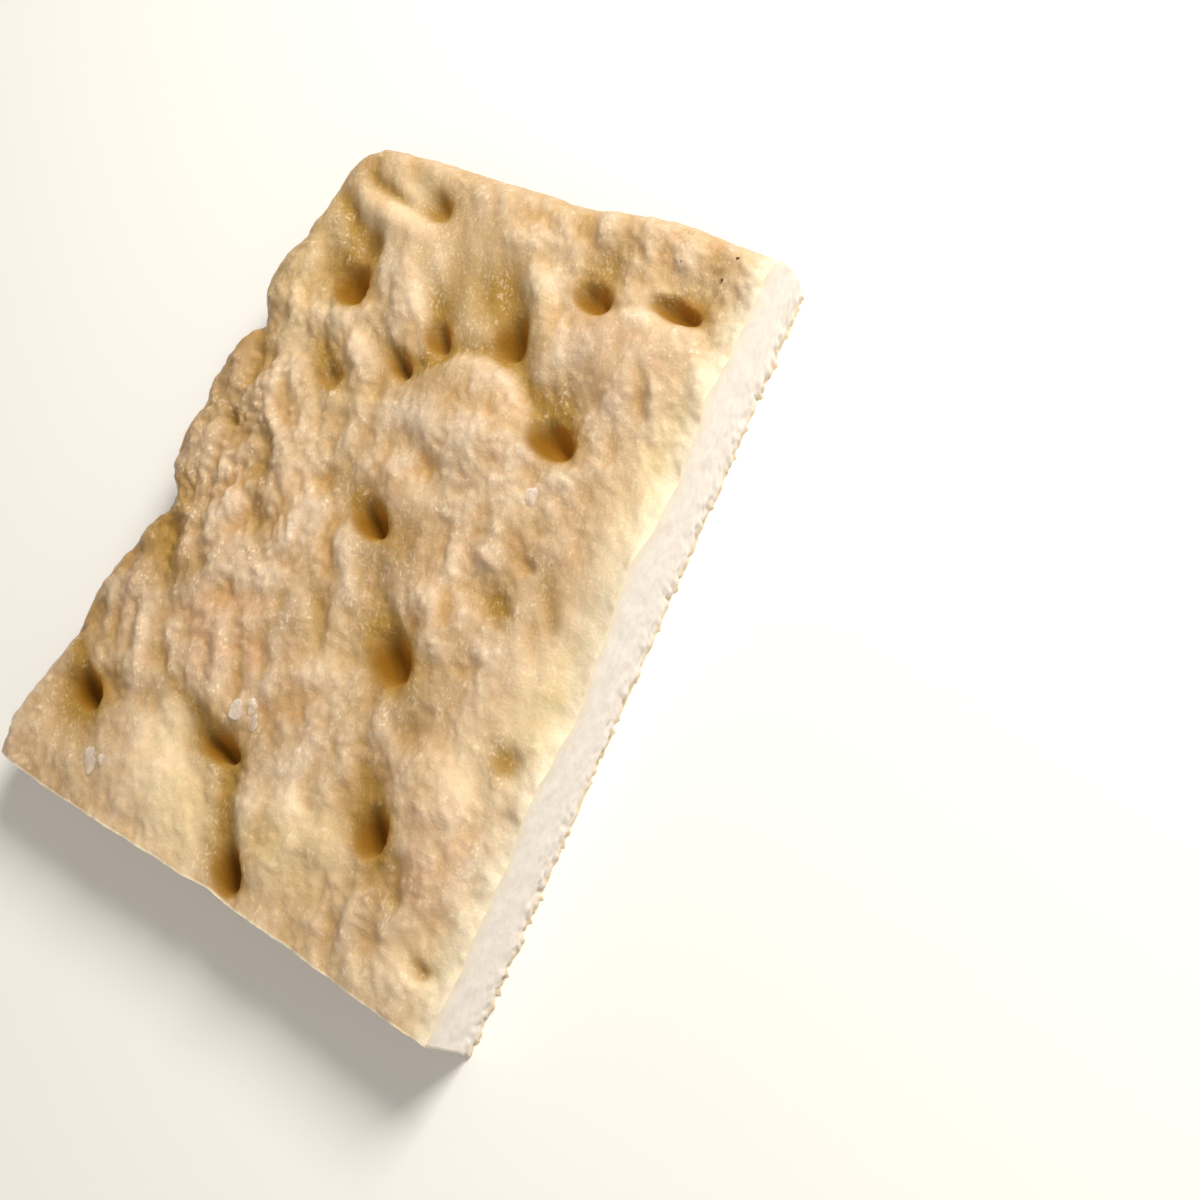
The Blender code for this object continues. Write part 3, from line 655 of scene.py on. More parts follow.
@dataclass(frozen=True)
class SlabForm:
    """The form of the whole piece, from the sizes that its solid is built from."""

    thickness: float = 19.5
    left_edge: float = -79.6
    left_slant: float = 0.083
    right_edge: float = 76.2
    right_slant: float = -0.05
    far_edge: float = 101.4
    near_edge: float = -99.5
    middle_x: float = -4.12
    middle_y: float = 0.28
    corner: float = 12.0
    rim_reach: float = 8.5
    rim_fall: float = 7.5
    foot_in: float = 3.0
    foot_fade: int = 3
    cut_lean: float = 0.9
    cut_round: float = 0.15
    cut_fall: float = 0.7
    lump_size: float = 22.0
    lump_height: float = 0.8
    wrinkle_width: float = 5.0
    wrinkle_length: float = 13.0
    wrinkle_height: float = 0.7
    wrinkle_lean: float = -62.0
    wrinkle_turn_x: float = 0.15
    wrinkle_turn_y: float = 0.05
    wrinkle_valley: float = 0.4
    wrinkle_middle: float = 0.47
    common_share: float = 0.6
    slant_x: float = 0.3
    slant_y: float = -0.18
    fold_share: float = 0.95
    sunk_span: Span = (1.5, 5.5)
    sunk_loss: float = 0.75
    most_loose: float = 1.5
    tight_share: float = 0.4
    loose_share: float = 0.6
    skin: Skin = Skin()
    crumb: Crumb = Crumb()

    @property
    def length(self) -> float:
        """The distance from the near cut to the far edge."""
        return self.far_edge - self.near_edge

    def eased(self, run: Array) -> Array:
        """Distance from a baked edge for a point that is run along the rows, which crowd at the rim."""
        return np.where(run < self.corner, run * run / (2.0 * self.corner), run - self.corner / 2.0)

    def broad_level(self, x: Array, y: Array) -> Array:
        """The height of the crust at each place, without its folds and wrinkles."""
        level = np.full(x.shape, self.thickness)
        for swell in PILLOWS + HOLLOWS + DIMPLES:
            level += swell.at(x, y)
        for crease in CREASES:
            level -= crease.at(x, y)
        return level + self.lump_height * drift(x / self.lump_size, y / self.lump_size, Slice.LUMPS)

    def wrinkles(self, x: Array, y: Array) -> Array:
        """Round-topped folds of the skin, with narrow valleys between."""
        along, across = turned(x, y, self.wrinkle_lean + self.wrinkle_turn_x * x + self.wrinkle_turn_y * y)
        folds = drift(across / self.wrinkle_width, along / self.wrinkle_length, Slice.WRINKLES)
        return self.wrinkle_height * (np.hypot(folds, self.wrinkle_valley) - self.wrinkle_middle)

    def rim_drop(self, gap: Array) -> Array:
        """How far the crust has dropped at each distance from a baked edge."""
        inside = np.clip(1.0 - gap / self.rim_reach, 0.0, 1.0)
        return self.rim_fall * (1.0 - np.sqrt(1.0 - inside**2))

    def crust_level(self, x: Array, y: Array) -> Array:
        """The height of the finished crust at each place, away from the rounded corner."""
        broad = self.broad_level(x, y)
        to_far = self.far_edge + waves(x, FAR_WAVES) - y
        to_left = x - self.left_edge - self.left_slant * y + waves(y, LEFT_WAVES)
        return broad + self.relief(x, y, broad) - self.rim_drop(np.minimum(to_far, to_left))

    def slant(self, x: Array, y: Array) -> tuple[Array, Array]:
        """How far each place is pushed along x and y, as each finger went in at a slant."""
        depth = -summed(DIMPLES, x, y)
        return self.slant_x * depth, self.slant_y * depth

    def pressed(self, x: Array, y: Array, shift: tuple[float, float], spread: float = 1.0) -> Array:
        """How deep the holes would be, each moved by the shift and spread so many times as wide."""
        holes = DIMPLES if spread == 1.0 else tuple(swell.grown(spread) for swell in DIMPLES)
        return -summed(holes, x - shift[0], y - shift[1])

    def looseness(self, x: Array, y: Array, broad: Array) -> Array:
        """The share of the fine relief that each place has: little in a hole or on a tight cushion."""
        share = self.common_share + summed(LOOSENESS, x, y)
        sunk = ramp(self.thickness - broad, *self.sunk_span)
        return np.clip(share, 0.0, self.most_loose) * (1.0 - self.sunk_loss * sunk)

    def relief(self, x: Array, y: Array, broad: Array) -> Array:
        """The height of the wrinkles and of the fine relief over the broad level."""
        loose = self.looseness(x, y, broad)
        single = self.fold_share * summed(FOLDS, x, y)
        wrinkled = self.wrinkles(x, y) * (self.tight_share + self.loose_share * loose)
        return single + wrinkled + self.skin.at(x, y) * loose

    def plan(self, u: Array, v: Array, w: Array) -> tuple[Array, Array, Array, Array, Array]:
        """Works out where the points of the unit block lie in plan.

        Args:
            u: From 0 at the left edge to 1 at the long cut.
            v: From 0 at the near cut to 1 at the far edge.
            w: From 0 at the base to 1 at the crust.

        Returns:
            x, y, the distance from the nearest baked edge, and the distances from the two cuts.
        """
        low = 1.0 - w
        height = w * self.thickness
        far_gap = self.eased((1.0 - v) * (self.length + self.corner / 2.0))
        y = self.far_edge - far_gap
        foot = self.foot_in * low**self.foot_fade
        left = self.left_edge + self.left_slant * y - waves(y, LEFT_WAVES) + foot
        right = self.right_edge + self.right_slant * y - self.cut_lean * w
        right += self.crumb.at(y, height, low, Slice.LONG_CUT)
        width = right - left
        left_gap = self.eased(u * (width + self.corner / 2.0))
        # A square corner becomes a round one where both baked edges are near.
        to_left = np.clip(1.0 - left_gap / self.corner, 0.0, None)
        to_far = np.clip(1.0 - far_gap / self.corner, 0.0, None)
        round_left = to_left * np.sqrt(1.0 - to_far**2 / 2.0)
        round_far = to_far * np.sqrt(1.0 - to_left**2 / 2.0)
        x = left + np.where(to_left > 0.0, self.corner * (1.0 - round_left), left_gap)
        far_gap = np.where(to_far > 0.0, self.corner * (1.0 - round_far), far_gap)
        rim_gap = self.corner * (1.0 - np.hypot(round_left, round_far))
        near_share = far_gap / self.length
        far_push = (waves(x, FAR_WAVES) - foot) * (1.0 - near_share)
        near_push = (waves(x, NEAR_WAVES) + self.crumb.at(x, height, low, Slice.NEAR_CUT)) * near_share
        y = self.far_edge - far_gap + far_push - near_push
        return x, y, np.clip(rim_gap, 0.0, None), width - left_gap, self.length - far_gap

    def crust(self, u: Array, v: Array) -> Crust:
        """Works out the crust over the points of the unit block.

        Args:
            u: From 0 at the left edge to 1 at the long cut.
            v: From 0 at the near cut to 1 at the far edge.

        Returns:
            The crust straight over each point.
        """
        x, y, rim_gap, long_cut_gap, near_cut_gap = self.plan(u, v, np.ones_like(u))
        broad = self.broad_level(x, y)
        folds = self.relief(x, y, broad)
        fall = self.rim_drop(rim_gap)
        at_cut = np.clip(1.0 - np.minimum(long_cut_gap, near_cut_gap) / self.cut_round, 0.0, 1.0)
        top = broad + folds - fall - self.cut_round * (1.0 - np.sqrt(1.0 - at_cut**2)) * self.cut_fall
        return Crust(x, y, broad, folds, fall, top, rim_gap, long_cut_gap)


@dataclass(frozen=True)
class Stains:
    """How the form tints the bread. A span is the depth in mm where a tint begins and where it is full.

    Oil gathers where the crust is sunk, in the seams and beside the holes; beside each hole it is moved
    onto the flank away from the light, as painted shade. In each hole a dark brown on its lit side is
    painted shade and a lighter brown on its dark side is painted light, each moved off the hole. The band
    is the pale strip beside the long cut.
    """

    sunk_span: Span = (-1.0, 2.4)
    sunk_oil: float = 0.95
    # Oil round each hole, moved onto the flank that faces away from the light: painted shade.
    hole_oil_shade_shift: tuple[float, float] = (1.6, 0.4)
    hole_oil_shade_spread: float = 1.9
    hole_oil_shade_span: Span = (0.5, 6.0)
    hole_oil_shade_share: float = 0.7
    seam_span: Span = (0.0, 1.6)
    seam_oil: float = 0.4
    # Dark brown moved onto the lit side of each hole: painted shade.
    hole_shade_shift: tuple[float, float] = (-1.2, -0.8)
    hole_shade_spread: float = 1.2
    hole_shade_span: Span = (0.6, 5.2)
    # Lighter brown moved onto the dark side of each hole: painted light.
    hole_light_shift: tuple[float, float] = (2.0, 1.3)
    hole_light_span: Span = (1.0, 4.2)
    side_span: Span = (1.0, 9.0)
    band_width: float = 5.5
    band_sway: float = 2.4
    band_size: float = 7.0
    edge_share: float = 0.9
    edge_depth: float = 2.0
    fold_range: Span = (-1.0, 1.5)
    foot_height: float = 1.2

    def tints(self, form: SlabForm, crust: Crust, w: Array, on_cut: Array) -> dict[Tint, Array]:
        """Works out every tint on the points of the unit block.

        Args:
            form: The form of the piece.
            crust: The crust over each point.
            w: From 0 at the base to 1 at the crust.
            on_cut: Whether each point is on one of the cuts.

        Returns:
            A value for each point, by tint.
        """
        x, y = crust.x, crust.y
        height = w * crust.top
        below = crust.top - height
        # Oil spread round each hole and moved onto the flank away from the light: painted shade.
        hole_oil_and_shade = form.pressed(x, y, self.hole_oil_shade_shift, self.hole_oil_shade_spread)
        seam = sum(crease.at(x, y) for crease in CREASES)
        oil_and_painted_shade = (
            ramp(form.thickness - crust.broad, *self.sunk_span) * self.sunk_oil
            + ramp(hole_oil_and_shade, *self.hole_oil_shade_span) * self.hole_oil_shade_share
            + ramp(seam, *self.seam_span) * self.seam_oil
        )
        sway = self.band_sway * drift(y / self.band_size, x / self.band_size, Slice.CUT_BAND)
        band = np.exp(-((crust.cut_gap / (self.band_width + sway)) ** 2))
        side = ramp(crust.fall + below, *self.side_span) * (crust.rim_gap < form.rim_reach)
        edge = np.where(w > 1.0 - TOUCH, self.edge_share * band * (1.0 - side), 0.0)
        edge = np.where(on_cut, self.edge_share * np.exp(-below / self.edge_depth), edge)
        return {
            Tint.OIL: np.clip(oil_and_painted_shade + summed(OILY, x, y), 0.0, 1.0),
            # Dark brown on the lit side of each hole is painted shade; lighter brown on its dark side is
            # painted light.
            Tint.WALL: ramp(form.pressed(x, y, self.hole_shade_shift, self.hole_shade_spread), *self.hole_shade_span),
            Tint.CORE: ramp(form.pressed(x, y, self.hole_light_shift), *self.hole_light_span),
            **{tint: np.clip(summed(table, x, y), 0.0, 1.0) for tint, table in PATCHES.items()},
            Tint.FOLD: np.clip(crust.folds, *self.fold_range),
            Tint.EDGE: edge,
            Tint.SIDE: side,
            Tint.FOOT: np.exp(-((height / self.foot_height) ** 2)),
        }


# --- Finishes ---


class Paint:
    """A Principled material in the making, with a method for each kind of node that feeds it."""

    def __init__(self, name: str) -> None:
        """Makes the bare material.

        Args:
            name: What the real material is.
        """
        self.material = bpy.data.materials.new(name)
        self.material.use_nodes = True
        self.tree = self.material.node_tree

    def place(self) -> Socket:
        """The place of each point in the object's own coordinates."""
        return add_node(self.tree, "ShaderNodeTexCoord").outputs["Object"]

    def kept(self, tint: Tint) -> Socket:
        """A measure that is kept on the bread's points."""
        return add_node(self.tree, "ShaderNodeAttribute", {"attribute_name": tint.value}).outputs["Fac"]

    def spots(self, place: Source, size_mm: float, detail: float = 2.0, roughness: float = 0.5) -> Socket:
        """Noise from 0 to 1 with spots of a real size, and finer ones in it."""
        inputs = {"Vector": place, "Scale": 1.0 / (size_mm * MM), "Detail": detail, "Roughness": roughness}
        return add_node(self.tree, "ShaderNodeTexNoise", inputs=inputs).outputs["Fac"]

    def stretched(self, value: Source, span: Span, onto: Span = (0.0, 1.0), soft: bool = False) -> Socket:
        """A span of values stretched onto another, and held beyond its ends. A soft one eases into them."""
        settings = {"interpolation_type": "SMOOTHSTEP" if soft else "LINEAR"}
        inputs = dict(zip(("Value", "From Min", "From Max", "To Min", "To Max"), (value, *span, *onto)))
        return add_node(self.tree, "ShaderNodeMapRange", settings, inputs).outputs["Result"]

    def math(self, operation: str, *values: Source, clamp: bool = False) -> Socket:
        """One step of arithmetic on its values. A clamped one stays in 0 to 1."""
        settings = {"operation": operation, "use_clamp": clamp}
        return add_node(self.tree, "ShaderNodeMath", settings, dict(enumerate(values))).outputs[0]

    def mix(self, share: Source, first: Union[str, Source], second: str) -> Socket:
        """A colour, as a socket or in hex, with a share of a second one in hex mixed in."""
        start = linear(first) if isinstance(first, str) else first
        inputs = {0: share, MIX_A: start, MIX_B: linear(second)}
        return add_node(self.tree, "ShaderNodeMix", {"data_type": "RGBA"}, inputs).outputs[MIX_RESULT]

    def bump(self, height: Source, height_mm: float, strength: float = 1.0) -> Socket:
        """The normals of a pattern raised to a real height."""
        inputs = {"Height": height, "Distance": height_mm * MM, "Strength": strength}
        return add_node(self.tree, "ShaderNodeBump", inputs=inputs).outputs["Normal"]

    def finished(self, inputs: Inputs) -> bpy.types.Material:
        """Sets or links the inputs of the shader, and gives the material."""
        feed(self.tree, self.tree.nodes["Principled BSDF"], inputs)
        return self.material


@dataclass(frozen=True)
class CrustFinish:
    """Baked wheat crust brushed with olive oil.

    The skin is a pale, faintly glossy tan. Oil in the hollows stains it yellow and makes it shine, the
    holes baked brown, and the thin tops of the wrinkles stay the lightest, partly as painted light. Painted
    shade darkens the lit side of each hole, the flank beside it away from the light and the valleys of the
    folds; painted light lifts the dark side of each hole, and small pale flecks are painted glints.
    """

    # The tops of the folds are lighter, partly as painted light, and the valleys darker, as oil and painted
    # shade.
    crown_cream_and_painted_light: str = "#E0CBB1"
    valley_oil_and_painted_shade: str = "#C49C66"
    blush: str = "#CC9C72"
    # Pale patches carry painted light over shaded hollows as well as paler crust.
    pale: str = "#EAD3AE"
    # Tan patches carry painted shade as well as browner crust.
    tan_and_painted_shade: str = "#A68452"
    yellow: str = "#DFC98E"
    # The oil colour also carries painted shade on the flank beside each hole.
    oil_and_painted_shade: str = "#A47E34"
    # Painted shade on the lit side of each hole and painted light on its dark side, over their brown.
    hole_brown_painted_shade: str = "#80560E"
    hole_brown_painted_light: str = "#B98026"
    cut_edge: str = "#F0E3C8"
    baked_side: str = "#946A36"
    # Pale flecks painted as glints.
    painted_glint: str = "#F6E4C6"
    roughness: float = 0.5
    hole_roughness: float = 1.0
    specular: float = 0.25
    ior: float = 1.46
    fold_span: Span = (-0.8, 0.9)
    blotch_mm: float = 9.0
    blush_span: Span = (0.35, 0.65)
    side_span: Span = (0.3, 0.7)
    side_share: Span = (0.72, 1.0)
    speckle_mm: float = 1.6
    speckle_share: float = 0.3
    grain_mm: float = 0.9
    grain_height_mm: float = 0.13
    # The painted glints: their size, their edges, their share and their clusters.
    fleck_mm: float = 0.85
    painted_glint_span: Span = (0.52, 0.72)
    painted_glint_share: float = 0.52
    glint_cluster_mm: float = 3.6
    glint_cluster_span: Span = (0.42, 0.62)
    glintless_side: float = 0.35
    stroke_turn: float = -62.0
    stroke_stretch: float = 1.3
    crinkle_mm: float = 1.4
    crinkle_height_mm: float = 1.9
    film_share: float = 0.6
    film_roughness: float = 0.32
    seep_share: float = 0.5
    seep_reach: Triple = (1.0, 0.55, 0.25)
    seep_mm: float = 2.2

    def colour(self, paint: Paint, place: Source, combed: Source, tint: dict[Tint, Source]) -> Source:
        """Lays the colours of the crust over each other.

        Args:
            paint: The material in the making.
            place: The place of each point.
            combed: The same place, drawn out along the folds.
            tint: The measures kept on the bread's points.

        Returns:
            The colour of the crust.
        """
        blotch = paint.spots(place, self.blotch_mm, detail=3.0)
        speckle = paint.spots(combed, self.speckle_mm, detail=4.0, roughness=0.65)
        # Lighter on the tops of the folds, partly as painted light; darker and yellower between them, as
        # oil and painted shade.
        high = paint.stretched(tint[Tint.FOLD], self.fold_span)
        uneven = paint.math("MULTIPLY_ADD", speckle, self.speckle_share, -self.speckle_share / 2.0)
        high = paint.math("ADD", high, uneven, clamp=True)
        colour = paint.mix(high, self.valley_oil_and_painted_shade, self.crown_cream_and_painted_light)
        blush = paint.math("MULTIPLY", tint[Tint.BLUSH], paint.stretched(blotch, self.blush_span))
        side = paint.stretched(blotch, self.side_span, self.side_share)
        layers = (
            (blush, self.blush),
            # Lighter patches: paler crust, and painted light over shaded hollows.
            (tint[Tint.PALE_AND_LIGHT], self.pale),
            # Darker patches: browner crust, and painted shade.
            (tint[Tint.TAN], self.tan_and_painted_shade),
            (tint[Tint.YELLOW], self.yellow),
            # Oil, and painted shade on the flank beside each hole.
            (tint[Tint.OIL], self.oil_and_painted_shade),
            (paint.math("MULTIPLY", tint[Tint.SIDE], side), self.baked_side),
            # Painted shade on the lit side of each hole and painted light on its dark side, over their
            # brown.
            (tint[Tint.WALL], self.hole_brown_painted_shade),
            (tint[Tint.CORE], self.hole_brown_painted_light),
            (tint[Tint.EDGE], self.cut_edge),
        )
        for share, layer in layers:
            colour = paint.mix(share, colour, layer)
        # Small pale flecks painted as glints: in clusters, on the tops of the folds, and neither in the
        # holes nor on the baked sides.
        flecks = paint.stretched(paint.spots(combed, self.fleck_mm, detail=0.0), self.painted_glint_span, soft=True)
        glint_clusters = paint.spots(combed, self.glint_cluster_mm, detail=1.0)
        limits = (
            high,
            paint.math("SUBTRACT", self.painted_glint_share, tint[Tint.WALL], clamp=True),
            paint.stretched(glint_clusters, self.glint_cluster_span, soft=True),
            paint.stretched(tint[Tint.SIDE], (0.0, self.glintless_side), (1.0, 0.0)),
        )
        for limit in limits:
            flecks = paint.math("MULTIPLY", flecks, limit)
        return paint.mix(flecks, colour, self.painted_glint)

    def material(self) -> bpy.types.Material:
        """Builds the material, which reads the measures kept on the bread's points."""
        paint = Paint("baked_wheat_crust")
        place = paint.place()
        tint = {each: paint.kept(each) for each in Tint if each is not Tint.FOOT}
        # Fine strokes run the same way as the folds.
        stroke = {
            "Vector": place,
            "Rotation": (0.0, 0.0, np.radians(self.stroke_turn)),
            "Scale": (self.stroke_stretch, 1.0, 1.0),
        }
        mapping = add_node(paint.tree, "ShaderNodeMapping", {"vector_type": "TEXTURE"}, stroke)
        combed = mapping.outputs["Vector"]
        grain = paint.spots(place, self.grain_mm)
        crinkle = paint.spots(combed, self.crinkle_mm, roughness=0.6)
        # The skin is moist all over but in the holes, where it is dull. The film of oil is finely
        # crinkled, so that it glints where a fold faces the light.
        dullness, film = (
            paint.stretched(tint[Tint.WALL], (0.0, 1.0), onto)
            for onto in ((self.roughness, self.hole_roughness), (self.film_share, 0.0))
        )
        return paint.finished({
            "Base Color": self.colour(paint, place, combed, tint),
            "Roughness": dullness,
            "Normal": paint.bump(grain, self.grain_height_mm),
            "Coat Weight": film,
            "Coat Normal": paint.bump(crinkle, self.crinkle_height_mm),
            "Coat Roughness": self.film_roughness,
            "Specular IOR Level": self.specular,
            "IOR": self.ior,
            "Subsurface Weight": self.seep_share,
            "Subsurface Radius": self.seep_reach,
            "Subsurface Scale": self.seep_mm * MM,
        })


@dataclass(frozen=True)
class CrumbFinish:
    """White wheat crumb: matt, soft, almost white, with shallow pores.

    It is cream in a thin band under the crust, and tan in a thin line at the foot.
    """

    white: str = "#E6DED6"
    shade: str = "#DCD3CA"
    cut_edge: str = "#E0D2B8"
    foot: str = "#DCC6A2"
    roughness: float = 0.9
    specular: float = 0.25
    cell_mm: float = 2.2
    cell_height_mm: float = 0.05
    white_span: Span = (0.35, 0.6)
    seep_share: float = 0.35
    seep_reach: Triple = (1.0, 0.75, 0.5)
    seep_mm: float = 2.0

    def material(self) -> bpy.types.Material:
        """Builds the material."""
        paint = Paint("white_wheat_crumb")
        cells = paint.spots(paint.place(), self.cell_mm, detail=4.0, roughness=0.65)
        colour = paint.mix(paint.stretched(cells, self.white_span), self.shade, self.white)
        colour = paint.mix(paint.kept(Tint.EDGE), colour, self.cut_edge)
        return paint.finished({
            "Base Color": paint.mix(paint.kept(Tint.FOOT), colour, self.foot),
            "Normal": paint.bump(cells, self.cell_height_mm),
            "Roughness": self.roughness,
            "Specular IOR Level": self.specular,
            "Subsurface Weight": self.seep_share,
            "Subsurface Radius": self.seep_reach,
            "Subsurface Scale": self.seep_mm * MM,
        })


@dataclass(frozen=True)
class BaseFinish:
    """The underside, baked on an oiled tray: an even satin brown, paler in spots that didn't touch."""

    brown: str = "#B07A3E"
    pale: str = "#D2A968"
    roughness: float = 0.55
    spot_mm: float = 7.0
    spot_height_mm: float = 0.2
    pale_span: Span = (0.4, 0.62)

    def material(self) -> bpy.types.Material:
        """Builds the material."""
        paint = Paint("tray_baked_base")
        spots = paint.spots(paint.place(), self.spot_mm, detail=5.0, roughness=0.6)
        return paint.finished({
            "Base Color": paint.mix(paint.stretched(spots, self.pale_span), self.brown, self.pale),
            "Normal": paint.bump(spots, self.spot_height_mm, strength=0.6),
            "Roughness": self.roughness,
        })


@dataclass(frozen=True)
class SaltFinish:
    """Coarse sea salt, wet with oil: a cloudy, glossy crystal that lets the crust show through."""

    cloud: str = "#F6F0EC"
    roughness: float = 0.18
    solid_share: float = 0.32
    ior: float = 1.54
    pit_mm: float = 0.6
    pit_height_mm: float = 0.1

    def material(self) -> bpy.types.Material:
        """Builds the material."""
        paint = Paint("wet_sea_salt")
        pits = paint.spots(paint.place(), self.pit_mm)
        return paint.finished({
            "Base Color": linear(self.cloud),
            "Normal": paint.bump(pits, self.pit_height_mm, strength=0.6),
            "Roughness": self.roughness,
            "Alpha": self.solid_share,
            "IOR": self.ior,
        })


@dataclass(frozen=True)
class SpeckFinish:
    """A charred speck of dough: dark brown, dull, and a little uneven."""

    dark: str = "#54391F"
    light: str = "#6B4A2C"
    roughness: float = 0.8
    fleck_mm: float = 0.4

    def material(self) -> bpy.types.Material:
        """Builds the material."""
        paint = Paint("charred_dough")
        flecks = paint.spots(paint.place(), self.fleck_mm)
        colour = paint.mix(flecks, self.dark, self.light)
        return paint.finished({"Base Color": colour, "Roughness": self.roughness})


@dataclass(frozen=True)
class BoardFinish:
    """A matt white board: it takes a soft shadow and gives no glint."""

    white: str = "#F7F6F4"
    roughness: float = 0.9

    def material(self) -> bpy.types.Material:
        """Builds the material."""
        paint = Paint("matt_white_board")
        return paint.finished({"Base Color": linear(self.white), "Roughness": self.roughness})


# --- Pieces ---


def new_piece(name: str, mesh: bpy.types.Mesh) -> bpy.types.Object:
    """Puts a finished mesh in the scene as a piece of the part.

    Args:
        name: The piece's name.
        mesh: Its mesh, in place.

    Returns:
        The piece's object.
    """
    piece = bpy.data.objects.new(name, mesh)
    bpy.context.scene.collection.objects.link(piece)
    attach(piece, BODY)
    return piece


class Zone(IntEnum):
    """The finish that a face of the bread takes, in the order in which the mesh holds them."""

    CRUST = 0
    CRUMB = 1
    BASE = 2


@dataclass(frozen=True)
class Bread:
    """The piece of bread: crust, crumb and base in one closed mesh."""

    form: SlabForm = SlabForm()
    stains: Stains = Stains()
    finishes: tuple[CrustFinish, CrumbFinish, BaseFinish] = (CrustFinish(), CrumbFinish(), BaseFinish())
    point_spacing: float = 0.74
    side_rows: int = 26
    coarse: float = 2.0
    rank_weights: Triple = (1.0, 1.7321, 3.1623)

    def block(self) -> bmesh.types.BMesh:
        """Makes a unit block: a fine grid on top, rows down its sides, and one face for the base.

        Returns:
            The block, from 0 to 1 along each axis.
        """
        spacing = self.point_spacing * 1.0
        columns = round((self.form.right_edge - self.form.left_edge) / spacing)
        rows = round(self.form.length / spacing)
        block = bmesh.new()
        bmesh.ops.create_grid(
            block, x_segments=columns, y_segments=rows, size=0.5,
            matrix=Matrix.Translation((0.5, 0.5, 1.0)),
        )
        rim = [edge for edge in block.edges if edge.is_boundary]
        for _ in range(self.side_rows):
            grown = bmesh.ops.extrude_edge_only(block, edges=rim)["geom"]
            points = [item for item in grown if isinstance(item, bmesh.types.BMVert)]
            bmesh.ops.translate(block, verts=points, vec=(0.0, 0.0, -1.0 / self.side_rows))
            rim = [item for item in grown if isinstance(item, bmesh.types.BMEdge) and item.is_boundary]
        bmesh.ops.edgeloop_fill(block, edges=rim)
        bmesh.ops.recalc_face_normals(block, faces=block.faces)
        # The operators list their faces in another order in each run.
        block.faces.sort(key=self.rank)
        return block

    def rank(self, face: bmesh.types.BMFace) -> float:
        """A number for each face of the block, by its place. No two have the same."""
        return sum(at * weight for at, weight in zip(face.calc_center_median(), self.rank_weights))

    def placed(self, mesh: bpy.types.Mesh) -> tuple[Array, dict[Tint, Array]]:
        """Works out where the points of the unit block go, and what is kept on them.

        Args:
            mesh: The unit block.

        Returns:
            The points in metres, and a value on each point for every tint.
        """
        form = self.form
        unit = np.empty(len(mesh.vertices) * 3, np.float32)
        mesh.vertices.foreach_get("co", unit)
        u, v, w = unit.reshape(-1, 3).astype(float).T
        crust = form.crust(u, v)
        slant_x, slant_y = form.slant(crust.x, crust.y)
        x, y = form.plan(u, v, w)[:2]
        x += slant_x * w * w
        y += slant_y * w * w
        points = np.stack((x - form.middle_x, y - form.middle_y, w * crust.top), axis=1) * MM
        return points, self.stains.tints(form, crust, w, (u > 1.0 - TOUCH) | (v < TOUCH))

    @staticmethod
    def zone(middle: Vector) -> Zone:
        """The finish of a face of the unit block, from its middle."""
        if middle.z < TOUCH:
            return Zone.BASE
        return Zone.CRUMB if middle.x > 1.0 - TOUCH or middle.y < TOUCH else Zone.CRUST

    def build(self) -> bpy.types.Object:
        """Builds the bread and dresses it.

        Returns:
            The piece that stands for the solid.
        """
        block = self.block()
        for face in block.faces:
            face.material_index = self.zone(face.calc_center_median())
            face.smooth = face.material_index != Zone.BASE
        for edge in block.edges:
            edge.smooth = len({face.material_index for face in edge.link_faces}) == 1
        mesh = bpy.data.meshes.new("bread")
        block.to_mesh(mesh)
        block.free()
        points, tints = self.placed(mesh)
        mesh.vertices.foreach_set("co", points.astype(np.float32).ravel())
        for tint, values in tints.items():
            kept = mesh.attributes.new(tint.value, "FLOAT", "POINT")
            kept.data.foreach_set("value", values.astype(np.float32))
        mesh.update()
        for finish in self.finishes:
            mesh.materials.append(finish.material())
        piece = new_piece("bread", mesh)
        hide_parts(NODE)
        return piece


